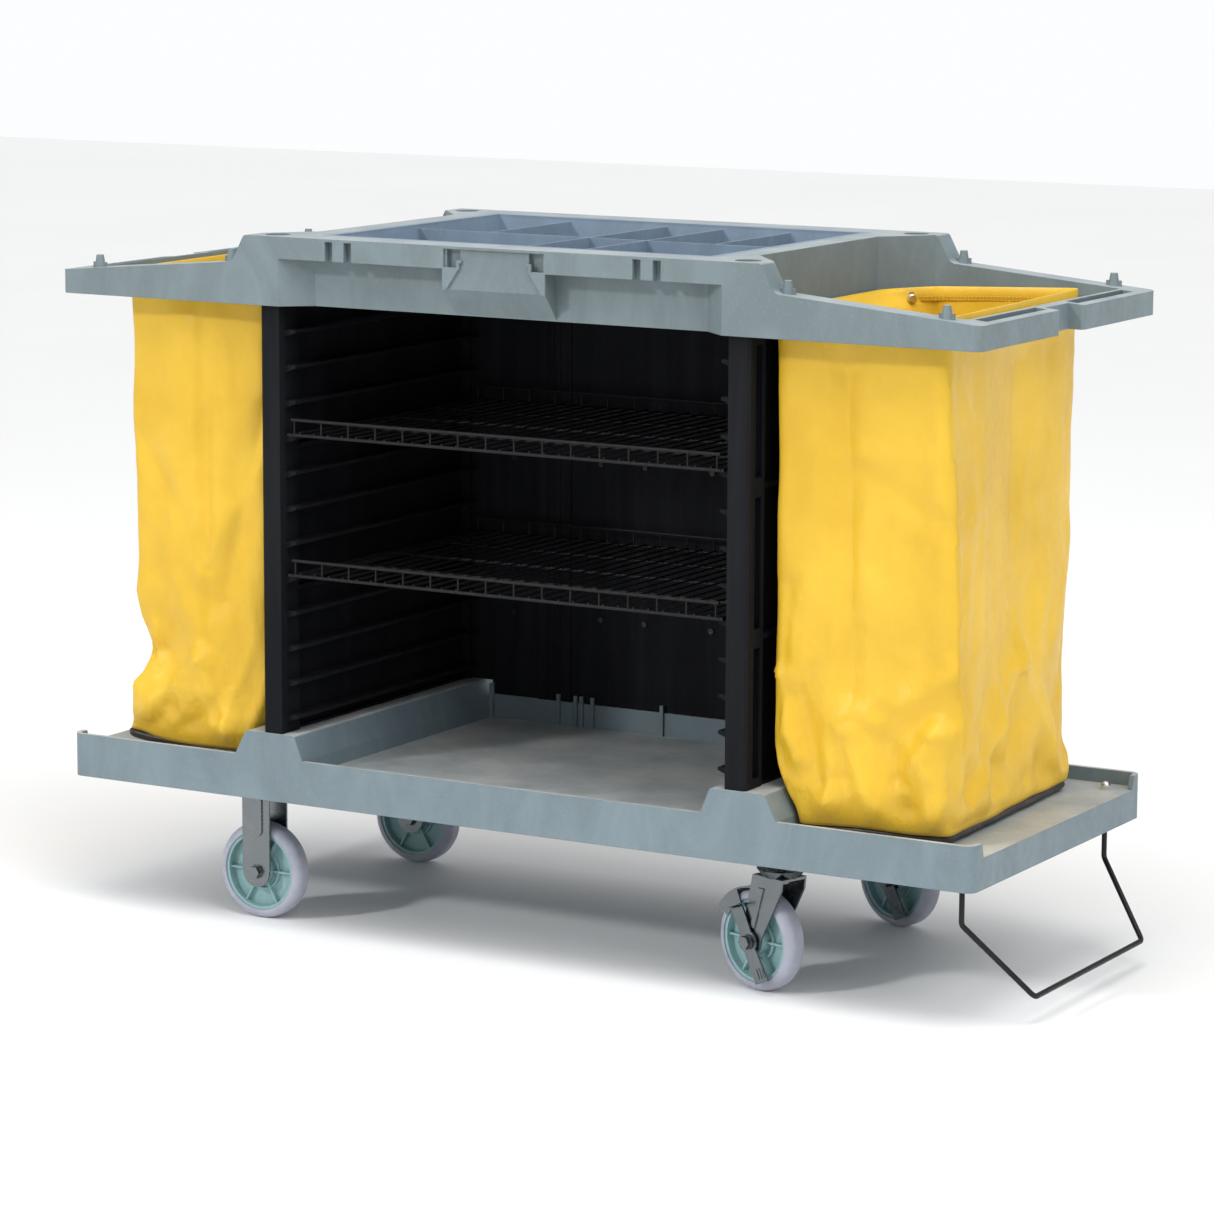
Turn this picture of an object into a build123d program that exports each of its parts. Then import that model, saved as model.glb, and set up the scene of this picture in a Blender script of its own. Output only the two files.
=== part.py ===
from build123d import *
import os
from math import atan2, cos, degrees, radians, sin

# Housekeeping cart, in millimetres. The layout is drawn about the middle of the base deck:
# +X runs along the cart towards the swivel casters, +Y to the closed back, +Z up from the floor.

# ---- driving dimensions ----
LENGTH = 1550.0          # over the base deck and over the two bag frames
BASE_DEPTH = 590.0       # base deck, front to back
DECK_DEPTH = 606.0       # top deck, front to back
WALL = 5.0               # moulded wall of both decks

BASE_BOTTOM = 203.0      # lower edge of the base skirt, and the seat of the caster plates
FLOOR_TOP = 249.0        # upper face of the base deck
LIP_TOP = 270.0          # rim round the base deck
SILL_TOP = 286.0         # ledge under the back panels
HUMP_TOP = 308.0         # ridges that carry the side panels

SKIRT_BOTTOM = 959.0     # lower edge of the top deck
RIM_BOTTOM = 1030.0      # lower edge of the overhanging rim
DECK_TOP = 1063.0

WHEEL_D = 150.0
WHEEL_WIDTH = 36.0
FIXED_CASTER = (-464.0, 220.0)    # distance of the fixed wheels from the middle, x and y
SWIVEL_CASTER = (440.0, 226.0)    # the same for the swivel axes
SWIVEL_TRAIL = 38.0               # wheel axle behind the swivel axis
SWIVEL_TURN = -17.0               # how far the swivel forks are turned at rest, in degrees

REST_REACH = 830.0       # far edge of the vacuum rest's wire
ORIGIN_X = (REST_REACH - LENGTH / 2) / 2   # middle of the whole cart, which is the part's origin

FRONT = -DECK_DEPTH / 2
BASE_FRONT = -BASE_DEPTH / 2
HALF = LENGTH / 2

# ---- hump, cabinet and posts ----
HUMP_FOOT = (343.0, 466.0)        # inner and outer foot of a hump
HUMP_CREST = (358.0, 446.0)       # inner and outer edge of its top
POST_X = (381.0, 415.0)           # inner and outer face of a corner post
POST_DEPTH = 48.0
POST_FRONT = -292.0
WEB_X = (395.0, 401.0)            # panel between the posts of one side
ROD = (398.0, 268.0)              # tie rods, distance from the middle
MODULE_JOINTS = (HUMP_TOP, 525.0, 742.0, SKIRT_BOTTOM - 0.5)
RUNNER_PITCH = 53.3
FIRST_RUNNER = 336.0
RUNNERS = 12
RUNNER_TIP = 362.0
BACK_FACE = 254.0                 # front face of the back panels
BACK_THICKNESS = 5.0
BACK_TOP = 1030.0
BACK_RELIEF = 1.8                 # how far the panels' fields and strips stand out at the back
STRIP_X = (195.0, 254.0)          # joining strips between the back panels

# ---- top deck ----
FASCIA_Y = -266.0
FASCIA_END = 333.0                # fascia turns out to the corner block from here
BLOCK_X = (375.0, 436.0)
BAY_WALL_X = 374.0                # end wall between the chamfers
BAY_WALL_Y = 188.0
ARM_INNER_Y = 262.0
BAR_INNER_X = 735.0
ARM_ROOT = (458.0, 1022.0)
ARM_TIP_Z = 993.5
TRAY_X, TRAY_Y = 333.0, 249.0     # half sizes of the organiser tray's flange
TRAY_BOTTOM = 976.0
NOTCH_HALF = 41.0                 # mop handle notch in the end bars
NOTCH_FLOOR_X = 751.0
POCKET_X = (741.0, 760.0)         # troughs in the end bars

# ---- shelves ----
SHELF_X = 372.0
SHELF_Y = (-284.0, 238.0)
SHELF_LIP = 23.0
SHELF_WIRE = 5.0
SHELF_FINE = 3.0
SHELF_CLEARANCE = 0.3
SHELF_RUNNERS = (8, 4)            # the runner that each shelf rests on, counted from the bottom

# ---- bags ----
BAG_WALL = 2.0
BAG_TOP = 985.0
BAG_FOOT = FLOOR_TOP + 0.5
BAG_BAND = 14.0


# ---------------------------------------------------------------- helpers
STAND = (Align.CENTER, Align.CENTER, Align.MIN)
HANG = (Align.CENTER, Align.CENTER, Align.MAX)


def save(node, *solids):
    """Write one node, moved from the deck's middle to the part's origin."""
    pieces = [Pos(-ORIGIN_X, 0, 0) * s for s in solids]
    shape = pieces[0] if len(pieces) == 1 else Compound(children=pieces)
    export_step(shape, f"parts/{node}.step")


def block(x0, x1, y0, y1, z0, z1):
    """A box between two corners."""
    return Pos((x0 + x1) / 2, (y0 + y1) / 2, (z0 + z1) / 2) * Box(abs(x1 - x0), abs(y1 - y0), abs(z1 - z0))


def profile_along_y(points, y0, y1):
    """A polygon of (x, z) points drawn out along Y."""
    face = Plane.XZ * make_face(Polyline(*points, close=True))
    return Pos(0, y1, 0) * extrude(face, amount=y1 - y0)


def profile_along_x(points, x0, x1):
    """A polygon of (y, z) points drawn out along X."""
    face = Plane.YZ * make_face(Polyline(*points, close=True))
    return Pos(x0, 0, 0) * extrude(face, amount=x1 - x0)


def rod_z(x, y, r, z0, z1):
    return Pos(x, y, (z0 + z1) / 2) * Cylinder(r, z1 - z0)


def hexagon(across, height):
    """A hexagonal prism standing on z = 0."""
    return extrude(RegularPolygon(across / 2, 6, major_radius=False), amount=height)


def mirrored(*solids):
    """The given solids and their mirror images on the other end of the cart."""
    return [*solids, *[mirror(s, about=Plane.YZ) for s in solids]]


def corners(x, y):
    return [(sx * x, sy * y) for sx in (-1, 1) for sy in (-1, 1)]


def upright_edges(solid, r, where=lambda e: True):
    """Round the upright edges that the test accepts."""
    edges = [e for e in solid.edges().filter_by(Axis.Z) if where(e.center())]
    return fillet(edges, r)


# ---------------------------------------------------------------- base deck
PAD = (62.0, 50.0)       # half size of the caster seats
PLATE = (52.5, 42.5)     # half size of the caster plates
PLATE_BOLT = (40.0, 30.0)
PLATE_BORE = 4.2
SILL_Y = 250.0
LIP = 8.0
SILL_TABS = (-215, -183, -172, -152, -25, 152, 172, 183, 215)
SILL_WEDGE = 340.0       # distance of the two wedges from the middle
RIBS_ACROSS = (-690, -580, -230, -115, 0, 115, 230, 580, 690)
RIBS_ALONG = (-147, 0, 147)


def hump(i):
    """One ridge across the base deck, drawn smaller by the given wall."""
    foot = FLOOR_TOP - WALL - i
    section = [(HUMP_FOOT[0] + i, LIP_TOP), (HUMP_CREST[0] + i, HUMP_TOP - i),
               (HUMP_CREST[1] - i, HUMP_TOP - i), (HUMP_FOOT[1] - i, LIP_TOP),
               (HUMP_FOOT[1] + 4 - i, foot), (HUMP_FOOT[0] - 4 + i, foot)]
    y = BASE_DEPTH / 2 - i
    ridge = profile_along_y(section, -y, y)
    if i == 0:
        upper = [e for e in ridge.edges().filter_by(Axis.Y) if e.center().Z > LIP_TOP - 1]
        ridge = fillet(upper, 6)
    return ridge


def base_outline(inset, z0, z1):
    body = block(-HALF + inset, HALF - inset, BASE_FRONT + inset, -BASE_FRONT - inset, z0, z1)
    return upright_edges(body, 18 - inset)


def lip_ring():
    ring = base_outline(0, FLOOR_TOP - 1, LIP_TOP) - base_outline(LIP, FLOOR_TOP - 2, LIP_TOP + 1)
    reach = BASE_DEPTH / 2 - 34
    gap = [(-reach - 6, LIP_TOP + 1), (reach + 6, LIP_TOP + 1), (reach, FLOOR_TOP + 2),
           (reach, FLOOR_TOP - 3), (-reach, FLOOR_TOP - 3), (-reach, FLOOR_TOP + 2)]
    for x0 in (-HALF - 1, HALF - LIP - 1):
        ring -= profile_along_x(gap, x0, x0 + LIP + 2)
    return ring


def base_ribs():
    """Stiffening ribs under the floor."""
    z0, z1 = BASE_BOTTOM + 12, FLOOR_TOP - WALL + 1
    reach_x, reach_y = HALF - WALL + 1, -BASE_FRONT - WALL + 1
    ribs = [block(x - 2, x + 2, -reach_y, reach_y, z0, z1) for x in RIBS_ACROSS]
    return ribs + [block(-reach_x, reach_x, y - 2, y + 2, z0, z1) for y in RIBS_ALONG]


def plate_holes(x, y, z0, z1):
    """Bores for the four bolts of one caster plate."""
    return [rod_z(x + dx, y + dy, PLATE_BORE, z0, z1) for dx, dy in corners(*PLATE_BOLT)]


def caster_seats():
    return [(FIXED_CASTER[0], s * FIXED_CASTER[1]) for s in (-1, 1)] + [
        (SWIVEL_CASTER[0], s * SWIVEL_CASTER[1]) for s in (-1, 1)]


def sill_tabs():
    """Small upright tabs that locate the back panels."""
    tabs = []
    back = SILL_Y + 0.8
    for x in SILL_TABS:
        tabs.append(block(x - 3, x + 3, SILL_Y - 4, back, FLOOR_TOP - 1, SILL_TOP + 12))
    for s in (-1, 1):
        wedge = [(SILL_Y - 8, FLOOR_TOP - 1), (back, FLOOR_TOP - 1), (back, SILL_TOP + 18),
                 (SILL_Y - 3, SILL_TOP + 18)]
        tabs.append(profile_along_x(wedge, s * SILL_WEDGE - 4, s * SILL_WEDGE + 4))
    return tabs


def make_base_deck():
    deck = base_outline(0, BASE_BOTTOM, FLOOR_TOP)
    deck -= base_outline(WALL, BASE_BOTTOM - 1, FLOOR_TOP - WALL)
    deck += lip_ring()
    ridge = hump(0)
    deck += [ridge, mirror(ridge, about=Plane.YZ)]
    hollow = hump(WALL)
    deck -= [hollow, mirror(hollow, about=Plane.YZ)]
    reach = HUMP_FOOT[0]
    deck += block(-reach - 2, reach + 2, SILL_Y, -BASE_FRONT - 0.01, FLOOR_TOP - 1, SILL_TOP)
    deck -= block(-reach + 6, reach - 6, SILL_Y + WALL, -BASE_FRONT - WALL, FLOOR_TOP - 9, SILL_TOP - WALL)
    deck += base_ribs()
    deck += sill_tabs()
    for x, y in caster_seats():
        deck += block(x - PAD[0], x + PAD[0], y - PAD[1], y + PAD[1], BASE_BOTTOM, FLOOR_TOP - 2)
        deck -= plate_holes(x, y, BASE_BOTTOM - 1, BASE_BOTTOM + 34)
    for x, y in corners(*ROD):
        deck -= rod_z(x, y, 4.5, FLOOR_TOP, HUMP_TOP + 1)
    for y in REST_LEG_Y:
        deck -= rod_z(REST_LEG_X, y, 4.4, BASE_BOTTOM - 1, FLOOR_TOP + 1)
    return deck


# ---------------------------------------------------------------- vacuum rest
REST_WIRE = 4.0
REST_LEG_X = 737.0
REST_LEG_Y = (-248.0, 248.0)
REST_KNEE_Z = 145.0
REST_BAR = (REST_REACH - REST_WIRE, 190.6, 40.0)
REST_BEND = 12.0


def make_vacuum_rest():
    """Bent wire whose two legs go up through the deck."""
    side = [(REST_LEG_X, REST_LEG_Y[0], z) for z in (FLOOR_TOP + 9, REST_KNEE_Z)]
    bar_x, bar_y, bar_z = REST_BAR
    points = [*side, (bar_x, -bar_y, bar_z), (bar_x, bar_y, bar_z)]
    points += [(x, -y, z) for x, y, z in reversed(side)]
    path = FilletPolyline(*points, radius=REST_BEND)
    section = Plane(origin=path @ 0, z_dir=path % 0) * Circle(REST_WIRE)
    return sweep(section, path=path)


def make_rest_nuts():
    """Cap nuts above the floor and plain nuts below it, one pair on each leg."""
    nuts = []
    for y in REST_LEG_Y:
        dome = Pos(0, 0, 6) * Sphere(6.4) & Pos(0, 0, 10) * Box(20, 20, 8)
        cap = Pos(0, 0, 0) * hexagon(14, 6.2) + dome
        bore = rod_z(REST_LEG_X, y, REST_WIRE + 0.02, FLOOR_TOP - 20, FLOOR_TOP + 9.01)
        lower = Pos(REST_LEG_X, y, FLOOR_TOP - WALL - 6.5) * hexagon(14, 6.5)
        nuts += [Pos(REST_LEG_X, y, FLOOR_TOP) * cap - bore, lower - bore]
    return nuts


# ---------------------------------------------------------------- side panels
def runner(z, y0, y1):
    """One shelf runner on the inner face, with a gusset under it and a stop at its back end."""
    rail = block(RUNNER_TIP, WEB_X[0] + 0.5, y0, y1, z - 5, z)
    nose = [(RUNNER_TIP + 2, z - 5), (WEB_X[0] + 0.5, z - 5), (WEB_X[0] + 0.5, z - 17)]
    gussets = [profile_along_y(nose, y, y + 5) for y in (y0, (y0 + y1) / 2, y1 - 5)]
    return [rail, *gussets]


def side_module(level):
    """One of the three stacked mouldings of the right side: two posts, a web and its runners."""
    z0, z1 = MODULE_JOINTS[level], MODULE_JOINTS[level + 1]
    back = POST_FRONT + POST_DEPTH
    post = block(*POST_X, POST_FRONT, back, z0, z1)
    outer = [e for e in post.edges().filter_by(Axis.Z) if e.center().X > 400 and e.center().Y < -280]
    post = chamfer(outer, 4)
    post -= block(POST_X[0] + 4, POST_X[1] - 4, POST_FRONT + 4, back - 4, z0 + 4, z1 - 4)
    post -= block(POST_X[1] - 5, POST_X[1] + 1, POST_FRONT + 20, back - 6, z0 + 14, z1 - 14)
    module = post + mirror(post, about=Plane.XZ)
    web_reach = 1 - back
    module += block(*WEB_X, -web_reach, web_reach, z0, z1)
    for z in (z0, z1 - 4):
        module += block(WEB_X[0] - 8, POST_X[1] - 3, -web_reach, web_reach, z, z + 4)
    for y in (-120, 0, 120):
        module += block(WEB_X[1] - 1, POST_X[1] - 5, y - 2, y + 2, z0 + 3, z1 - 3)
    reach = -POST_FRONT - 14
    for n in range(RUNNERS):
        z = FIRST_RUNNER + n * RUNNER_PITCH
        if z0 < z < z1:
            module += runner(z, -reach, BACK_FACE - 14)
    return module


def side_spigots():
    """Stubs of the top module's posts that stand inside the corner blocks of the top deck."""
    stubs = []
    for s in (-1, 1):
        y = s * (-POST_FRONT - POST_DEPTH / 2)
        stubs.append(block(POST_X[0] + 4, POST_X[1] - 4, y - 20, y + 20, MODULE_JOINTS[3] - 1, DECK_TOP - 21))
    return stubs


def make_side_panel(level):
    panel = side_module(level)
    if level == 2:
        panel += side_spigots()
    for s in (-1, 1):
        panel -= rod_z(ROD[0], s * ROD[1], 4.5, MODULE_JOINTS[level] - 1, DECK_TOP)
    return panel


# ---------------------------------------------------------------- back of the cabinet
def make_back_panel(x0, x1):
    panel = block(x0, x1, BACK_FACE, BACK_FACE + BACK_THICKNESS, SILL_TOP + 0.2, BACK_TOP)
    width = x1 - x0
    count = max(1, round(width / 130))
    step = width / count
    for n in range(count):
        middle = x0 + step * (n + 0.5)
        for z0, z1 in ((330, 540), (570, 780), (810, 985)):
            half = step / 2 - 14
            panel += block(middle - half, middle + half, BACK_FACE + BACK_THICKNESS - 1,
                           BACK_FACE + BACK_THICKNESS + BACK_RELIEF, z0, z1)
    for s in (-1, 1):
        edge = s * (HUMP_FOOT[0] - 1)
        panel -= block(edge, s * (POST_X[0] + 1), BACK_FACE - 1, BACK_FACE + 9, SILL_TOP - 1, HUMP_TOP + 0.2)
    return panel


def make_back_strip():
    """Joining strip with three grooves, clipped over the edges of two back panels."""
    x0, x1 = STRIP_X
    y0, y1 = BACK_FACE - 3, BACK_FACE + BACK_THICKNESS + BACK_RELIEF
    strip = block(x0, x1, y0, y1, SILL_TOP + 0.2, BACK_TOP)
    for side, edge in ((-1, x0), (1, x1)):
        strip -= block(edge - 9, edge + 9, BACK_FACE - 0.2, BACK_FACE + BACK_THICKNESS + 0.2, SILL_TOP - 1,
                       BACK_TOP + 1)
    for x in (x0 + 18, (x0 + x1) / 2, x1 - 18):
        strip -= block(x - 1.5, x + 1.5, y0 - 1, y0 + 1.5, SILL_TOP - 1, BACK_TOP + 1)
    return strip


def make_panel_screws():
    """Pan-head screws through the edges of the back panels."""
    screws = []
    for x in (-300, -140, -60, 60, 140, 300):
        for z in (425, 675, 900):
            head = Pos(x, BACK_FACE - 1.5, z) * Rot(90, 0, 0) * Cylinder(4.5, 3)
            slot = Pos(x, BACK_FACE - 2.6, z) * Box(6, 1.2, 1.2)
            screws.append(head - slot)
    return screws


# ---------------------------------------------------------------- tie rods
def make_tie_rods():
    return [rod_z(x, y, 4.0, HUMP_TOP - 22, DECK_TOP - 4) for x, y in corners(*ROD)]


def make_tie_rod_nuts():
    nuts = []
    for x, y in corners(*ROD):
        top = Pos(x, y, DECK_TOP - 15) * (hexagon(13, 8) + Cylinder(12, 1.6, align=STAND))
        low = Pos(x, y, HUMP_TOP - WALL - 8) * hexagon(13, 8)
        bore = rod_z(x, y, 4.02, HUMP_TOP - 60, DECK_TOP + 1)
        nuts += [top - bore, low - bore]
    return nuts


# ---------------------------------------------------------------- top deck
def deck_outline():
    """Plan of the top deck and both bag frames, without the rim."""
    quarter = [(FASCIA_END, FASCIA_Y), (BLOCK_X[0], FRONT), (HALF, FRONT), (HALF, -NOTCH_HALF),
               (NOTCH_FLOOR_X, -NOTCH_HALF)]
    back = [(x, -y) for x, y in reversed(quarter)]
    right = quarter + back
    left = [(-x, y) for x, y in reversed(right)]
    return right + left


def bay_outline():
    return [(BAY_WALL_X, -BAY_WALL_Y), (BLOCK_X[1], -ARM_INNER_Y), (BAR_INNER_X, -ARM_INNER_Y),
            (BAR_INNER_X, ARM_INNER_Y), (BLOCK_X[1], ARM_INNER_Y), (BAY_WALL_X, BAY_WALL_Y)]


def under_slope(drop, shift):
    """Everything under the deck's top line, lowered and moved inwards by a wall."""
    top = DECK_TOP - drop
    end = HALF + 10
    half = [(BLOCK_X[1] - shift, top), (ARM_ROOT[0] - shift, ARM_ROOT[1] - drop),
            (end, ARM_TIP_Z - drop), (end, 900)]
    points = half + [(-x, z) for x, z in reversed(half)]
    face = Plane.XZ * make_face(Polyline(*points, close=True))
    body = Pos(0, 400, 0) * extrude(face, amount=800)
    crease = [e for e in body.edges().filter_by(Axis.Y) if abs(e.center().Z - (ARM_ROOT[1] - drop)) < 0.5]
    body = fillet(crease, 16)
    brow = [e for e in body.edges().filter_by(Axis.Y) if abs(e.center().Z - top) < 0.5]
    return fillet(brow, 6)


def offset_plate(points, amount, z0, z1):
    face = offset(make_face(Polyline(*points, close=True)), amount=amount, kind=Kind.INTERSECTION)
    return Pos(0, 0, z0) * extrude(face, amount=z1 - z0)


def pockets(grow):
    """Open-topped troughs in the end bars, one each side of the notch."""
    x0, x1 = POCKET_X[0] - grow, POCKET_X[1] + grow
    boxes = [block(x0, x1, s * (52 - grow), s * (252 + grow), 968 - grow, 1000) for s in (-1, 1)]
    return mirrored(*boxes)


def rod_cups(r, z0, z1):
    return [rod_z(x, y, r, z0, z1) for x, y in corners(*ROD)]


RIM_PAIRS = (-268.0, 254.0)      # middles of the two notched stretches of rim
RIM_TAB = 10.0                   # half width of the tab between two notches
RIM_NOTCH = 13.0
NOTCH_DEPTH = 12.0
APRON = 85.0                     # half width of the apron in the middle of the rim
APRON_NOTCH = (4.0, 27.0)        # the two notches beside it, measured in from its edges
FLANGE = 4.0


def rim_hollows():
    """Stretches of rim that are hollow from below, as pairs of x."""
    left, right = RIM_PAIRS
    half = RIM_TAB + RIM_NOTCH
    stretches = [(-BLOCK_X[0], left - half), (left + half, -APRON)]
    return stretches + [(APRON, right - half), (right + half, BLOCK_X[0])]


def apron_hollow(y):
    """Section of the space inside the apron, from the given depth to the fascia."""
    slope = (1003 - 968) / (FRONT + 9 - FASCIA_Y)
    return [(y, DECK_TOP - 6), (y, 1003 + slope * (y - FRONT - 9)), (FASCIA_Y - 0.01, 968),
            (FASCIA_Y - 0.01, DECK_TOP - 6)]


def make_apron():
    """Sloping apron below the middle of the rim."""
    section = [(FRONT + 4, DECK_TOP - 1), (FRONT + 4, 1000), (FASCIA_Y, SKIRT_BOTTOM + 2),
               (FASCIA_Y + 1, SKIRT_BOTTOM + 2), (FASCIA_Y + 1, DECK_TOP - 1)]
    apron = profile_along_x(section, -APRON, APRON)
    inner = APRON - APRON_NOTCH[1] - WALL
    apron -= profile_along_x(apron_hollow(FRONT + 9), -inner, inner)
    return apron - profile_along_x(apron_hollow(FRONT + NOTCH_DEPTH + WALL), WALL - APRON, APRON - WALL)


def apron_hooks(s):
    """Brace and hook under the notch at one end of the apron."""
    brace = [(s * (APRON + 2), RIM_BOTTOM + 2), (s * (APRON - 27), RIM_BOTTOM + 2), (s * (APRON - 5), 1000),
             (s * (APRON + 2), 998)]
    stem = block(s * (APRON - 22), s * (APRON - 27), FRONT, FRONT + 5, RIM_BOTTOM - 1, RIM_BOTTOM + 11)
    barb = block(s * (APRON - 22), s * (APRON - 31), FRONT, FRONT + 5, RIM_BOTTOM + 9, RIM_BOTTOM + 13)
    return [profile_along_y(brace, FRONT, FRONT + 5), stem, barb]


def rim_front():
    """Overhanging rim along the front, hollow below, with notches, apron and hooks."""
    rim = block(-BLOCK_X[0] - 4, BLOCK_X[0] + 4, FRONT, FASCIA_Y + 1, RIM_BOTTOM, DECK_TOP)
    for x0, x1 in rim_hollows():
        rim -= block(x0 + WALL, x1 - WALL, FRONT + WALL, FASCIA_Y - 0.01, RIM_BOTTOM - 1, DECK_TOP - WALL)
    notch_back, notch_top = FRONT + NOTCH_DEPTH, DECK_TOP - FLANGE
    for middle in RIM_PAIRS:
        for s in (-1, 1):
            x0, x1 = sorted((middle + s * RIM_TAB, middle + s * (RIM_TAB + RIM_NOTCH)))
            rim -= block(x0, x1, FRONT - 1, notch_back, RIM_BOTTOM - 1, notch_top)
    rim -= block(-APRON, APRON, FRONT - 1, FASCIA_Y - 0.01, RIM_BOTTOM - 1, notch_top)
    rim += make_apron()
    for s in (-1, 1):
        x0, x1 = sorted(s * (APRON - inset) for inset in APRON_NOTCH)
        rim -= block(x0, x1, FRONT - 1, notch_back, RIM_BOTTOM, notch_top)
        rim += apron_hooks(s)
    return rim


def arm_pegs():
    """Tapered pegs on the arms."""
    pegs = []
    for x in (470.0, 715.0):
        top = ARM_ROOT[1] + (ARM_TIP_Z - ARM_ROOT[1]) * (x - ARM_ROOT[0]) / (HALF + 10 - ARM_ROOT[0])
        for s in (-1, 1):
            cone = Cone(9, 5.5, 21, align=STAND)
            fin = Box(24, 3, 10, align=STAND)
            pegs.append(Pos(x, s * (ARM_INNER_Y + 22), top - 2) * (cone + fin))
    return mirrored(*pegs)


def make_top_deck():
    outer = offset_plate(deck_outline(), 0, SKIRT_BOTTOM, DECK_TOP)
    outer = upright_edges(outer, 14, lambda c: abs(c.X) > HALF - 1 and abs(c.Y) > 200)
    outer = upright_edges(outer, 6, lambda c: abs(c.X) > HALF - 1 and abs(c.Y) < 60)
    bay = upright_edges(offset_plate(bay_outline(), 0, SKIRT_BOTTOM - 1, DECK_TOP + 1), 8)
    bays = [bay, mirror(bay, about=Plane.YZ)]
    deck = (outer & under_slope(0, 0)) - bays
    rim = rim_front()
    deck += [rim, mirror(rim, about=Plane.XZ)]
    inner = offset_plate(deck_outline(), -WALL, SKIRT_BOTTOM - 1, DECK_TOP)
    wall = upright_edges(offset_plate(bay_outline(), WALL, SKIRT_BOTTOM - 2, DECK_TOP + 1), 8)
    cavity = (inner & under_slope(7, 4)) - [wall, mirror(wall, about=Plane.YZ)]
    cavity -= pockets(WALL - 1)
    cavity -= rod_cups(24, DECK_TOP - 20, DECK_TOP)
    deck -= cavity
    deck -= pockets(0)
    deck -= rod_cups(19, DECK_TOP - 15, DECK_TOP + 1)
    deck -= rod_cups(4.5, DECK_TOP - 30, DECK_TOP + 1)
    deck -= block(-TRAY_X, TRAY_X, -TRAY_Y, TRAY_Y, DECK_TOP - 4, DECK_TOP + 1)
    deck -= block(-TRAY_X + 9, TRAY_X - 9, -TRAY_Y + 9, TRAY_Y - 9, DECK_TOP - 10, DECK_TOP + 1)
    deck += arm_pegs()
    return deck


# ---------------------------------------------------------------- organiser tray
TRAY_WALL = 2.5
TRAY_FLANGE = 3.8
TRAY_GAP = 0.4
DIVIDERS_FULL = (-17.0, 82.0)
DIVIDERS_BACK = (-190.0, 199.0)


def tray_shell(inset, z0):
    """Tapered tub of the tray, smaller at the bottom."""
    x, y = TRAY_X - 10 - inset, TRAY_Y - 10 - inset
    top = Plane.XY.offset(DECK_TOP - TRAY_FLANGE) * Rectangle(2 * x, 2 * y)
    low = Plane.XY.offset(z0) * Rectangle(2 * x - 16, 2 * y - 16)
    return loft([low.faces()[0], top.faces()[0]])


def make_organiser_tray():
    x, y = TRAY_X - TRAY_GAP, TRAY_Y - TRAY_GAP
    tub = tray_shell(0, TRAY_BOTTOM)
    flange = upright_edges(block(-x, x, -y, y, DECK_TOP - TRAY_FLANGE, DECK_TOP), 3)
    tray = tub + flange
    inner = tray_shell(TRAY_WALL, TRAY_BOTTOM + TRAY_WALL)
    tray -= inner
    mouth_x, mouth_y = TRAY_X - 10 - TRAY_WALL, TRAY_Y - 10 - TRAY_WALL
    tray -= block(-mouth_x, mouth_x, -mouth_y, mouth_y, DECK_TOP - TRAY_FLANGE - 0.01, DECK_TOP + 1)
    top = DECK_TOP - 6
    walls = [block(-TRAY_X + 12, TRAY_X - 12, -1.5, 1.5, TRAY_BOTTOM + 1, top)]
    walls += [block(d - 1.5, d + 1.5, -TRAY_Y + 12, TRAY_Y - 12, TRAY_BOTTOM + 1, top) for d in DIVIDERS_FULL]
    walls += [block(d - 1.5, d + 1.5, 0, TRAY_Y - 12, TRAY_BOTTOM + 1, top) for d in DIVIDERS_BACK]
    limit = tray_shell(0.5, TRAY_BOTTOM)
    tray += [w & limit for w in walls]
    return tray


# ---------------------------------------------------------------- wire shelves
def wire(a, b, r):
    """A straight wire from point to point."""
    direction = Vector(*b) - Vector(*a)
    face = Plane(origin=a, z_dir=direction) * Circle(r)
    return extrude(face, amount=direction.length)


def make_shelf(number):
    """A welded grid with a raised lip along its front and back edges."""
    z = FIRST_RUNNER + SHELF_RUNNERS[number] * RUNNER_PITCH + SHELF_WIRE / 2 + SHELF_CLEARANCE
    r, fine = SHELF_WIRE / 2, SHELF_FINE / 2
    y0, y1 = SHELF_Y
    end = SHELF_X - 7
    wires = [wire((-SHELF_X, y, z), (SHELF_X, y, z), r) for y in (y0, -151.0, -19.0, 113.0, y1)]
    wires += [wire((s * end, y0 - r - 1, z + 0.3), (s * end, y1 + r + 1, z + 0.3), r - 0.3) for s in (-1, 1)]
    for y in (y0, y1):
        wires.append(wire((-end, y, z + SHELF_LIP), (end, y, z + SHELF_LIP), r))
        for n in range(16):
            x = (n - 7.5) * 48.0
            wires.append(wire((x, y, z), (x, y, z + SHELF_LIP), fine))
    lift = z + r + fine - 0.6
    wires += [wire((n * 25.0, y0 - 1, lift), (n * 25.0, y1 + 1, lift), fine) for n in range(-14, 15)]
    return wires[0].fuse(*wires[1:])


# ---------------------------------------------------------------- casters
AXLE_Z = WHEEL_D / 2
PLATE_T = 3.0
LEG_T = 3.0
LEG_GAP = WHEEL_WIDTH / 2 + 4.0   # inner face of a fork leg from the wheel's middle
CORE_R = 61.5
BUSH_R = 13.0
AXLE_R = 6.0


def across(solid):
    """Turn a piece drawn about Z so that it lies about Y."""
    return Rot(90, 0, 0) * solid


def make_tyre():
    ring = Cylinder(WHEEL_D / 2, WHEEL_WIDTH)
    shoulders = [e for e in ring.edges().filter_by(GeomType.CIRCLE)]
    ring = fillet(shoulders, 13)
    return across(ring - Cylinder(CORE_R, WHEEL_WIDTH + 2))


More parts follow.
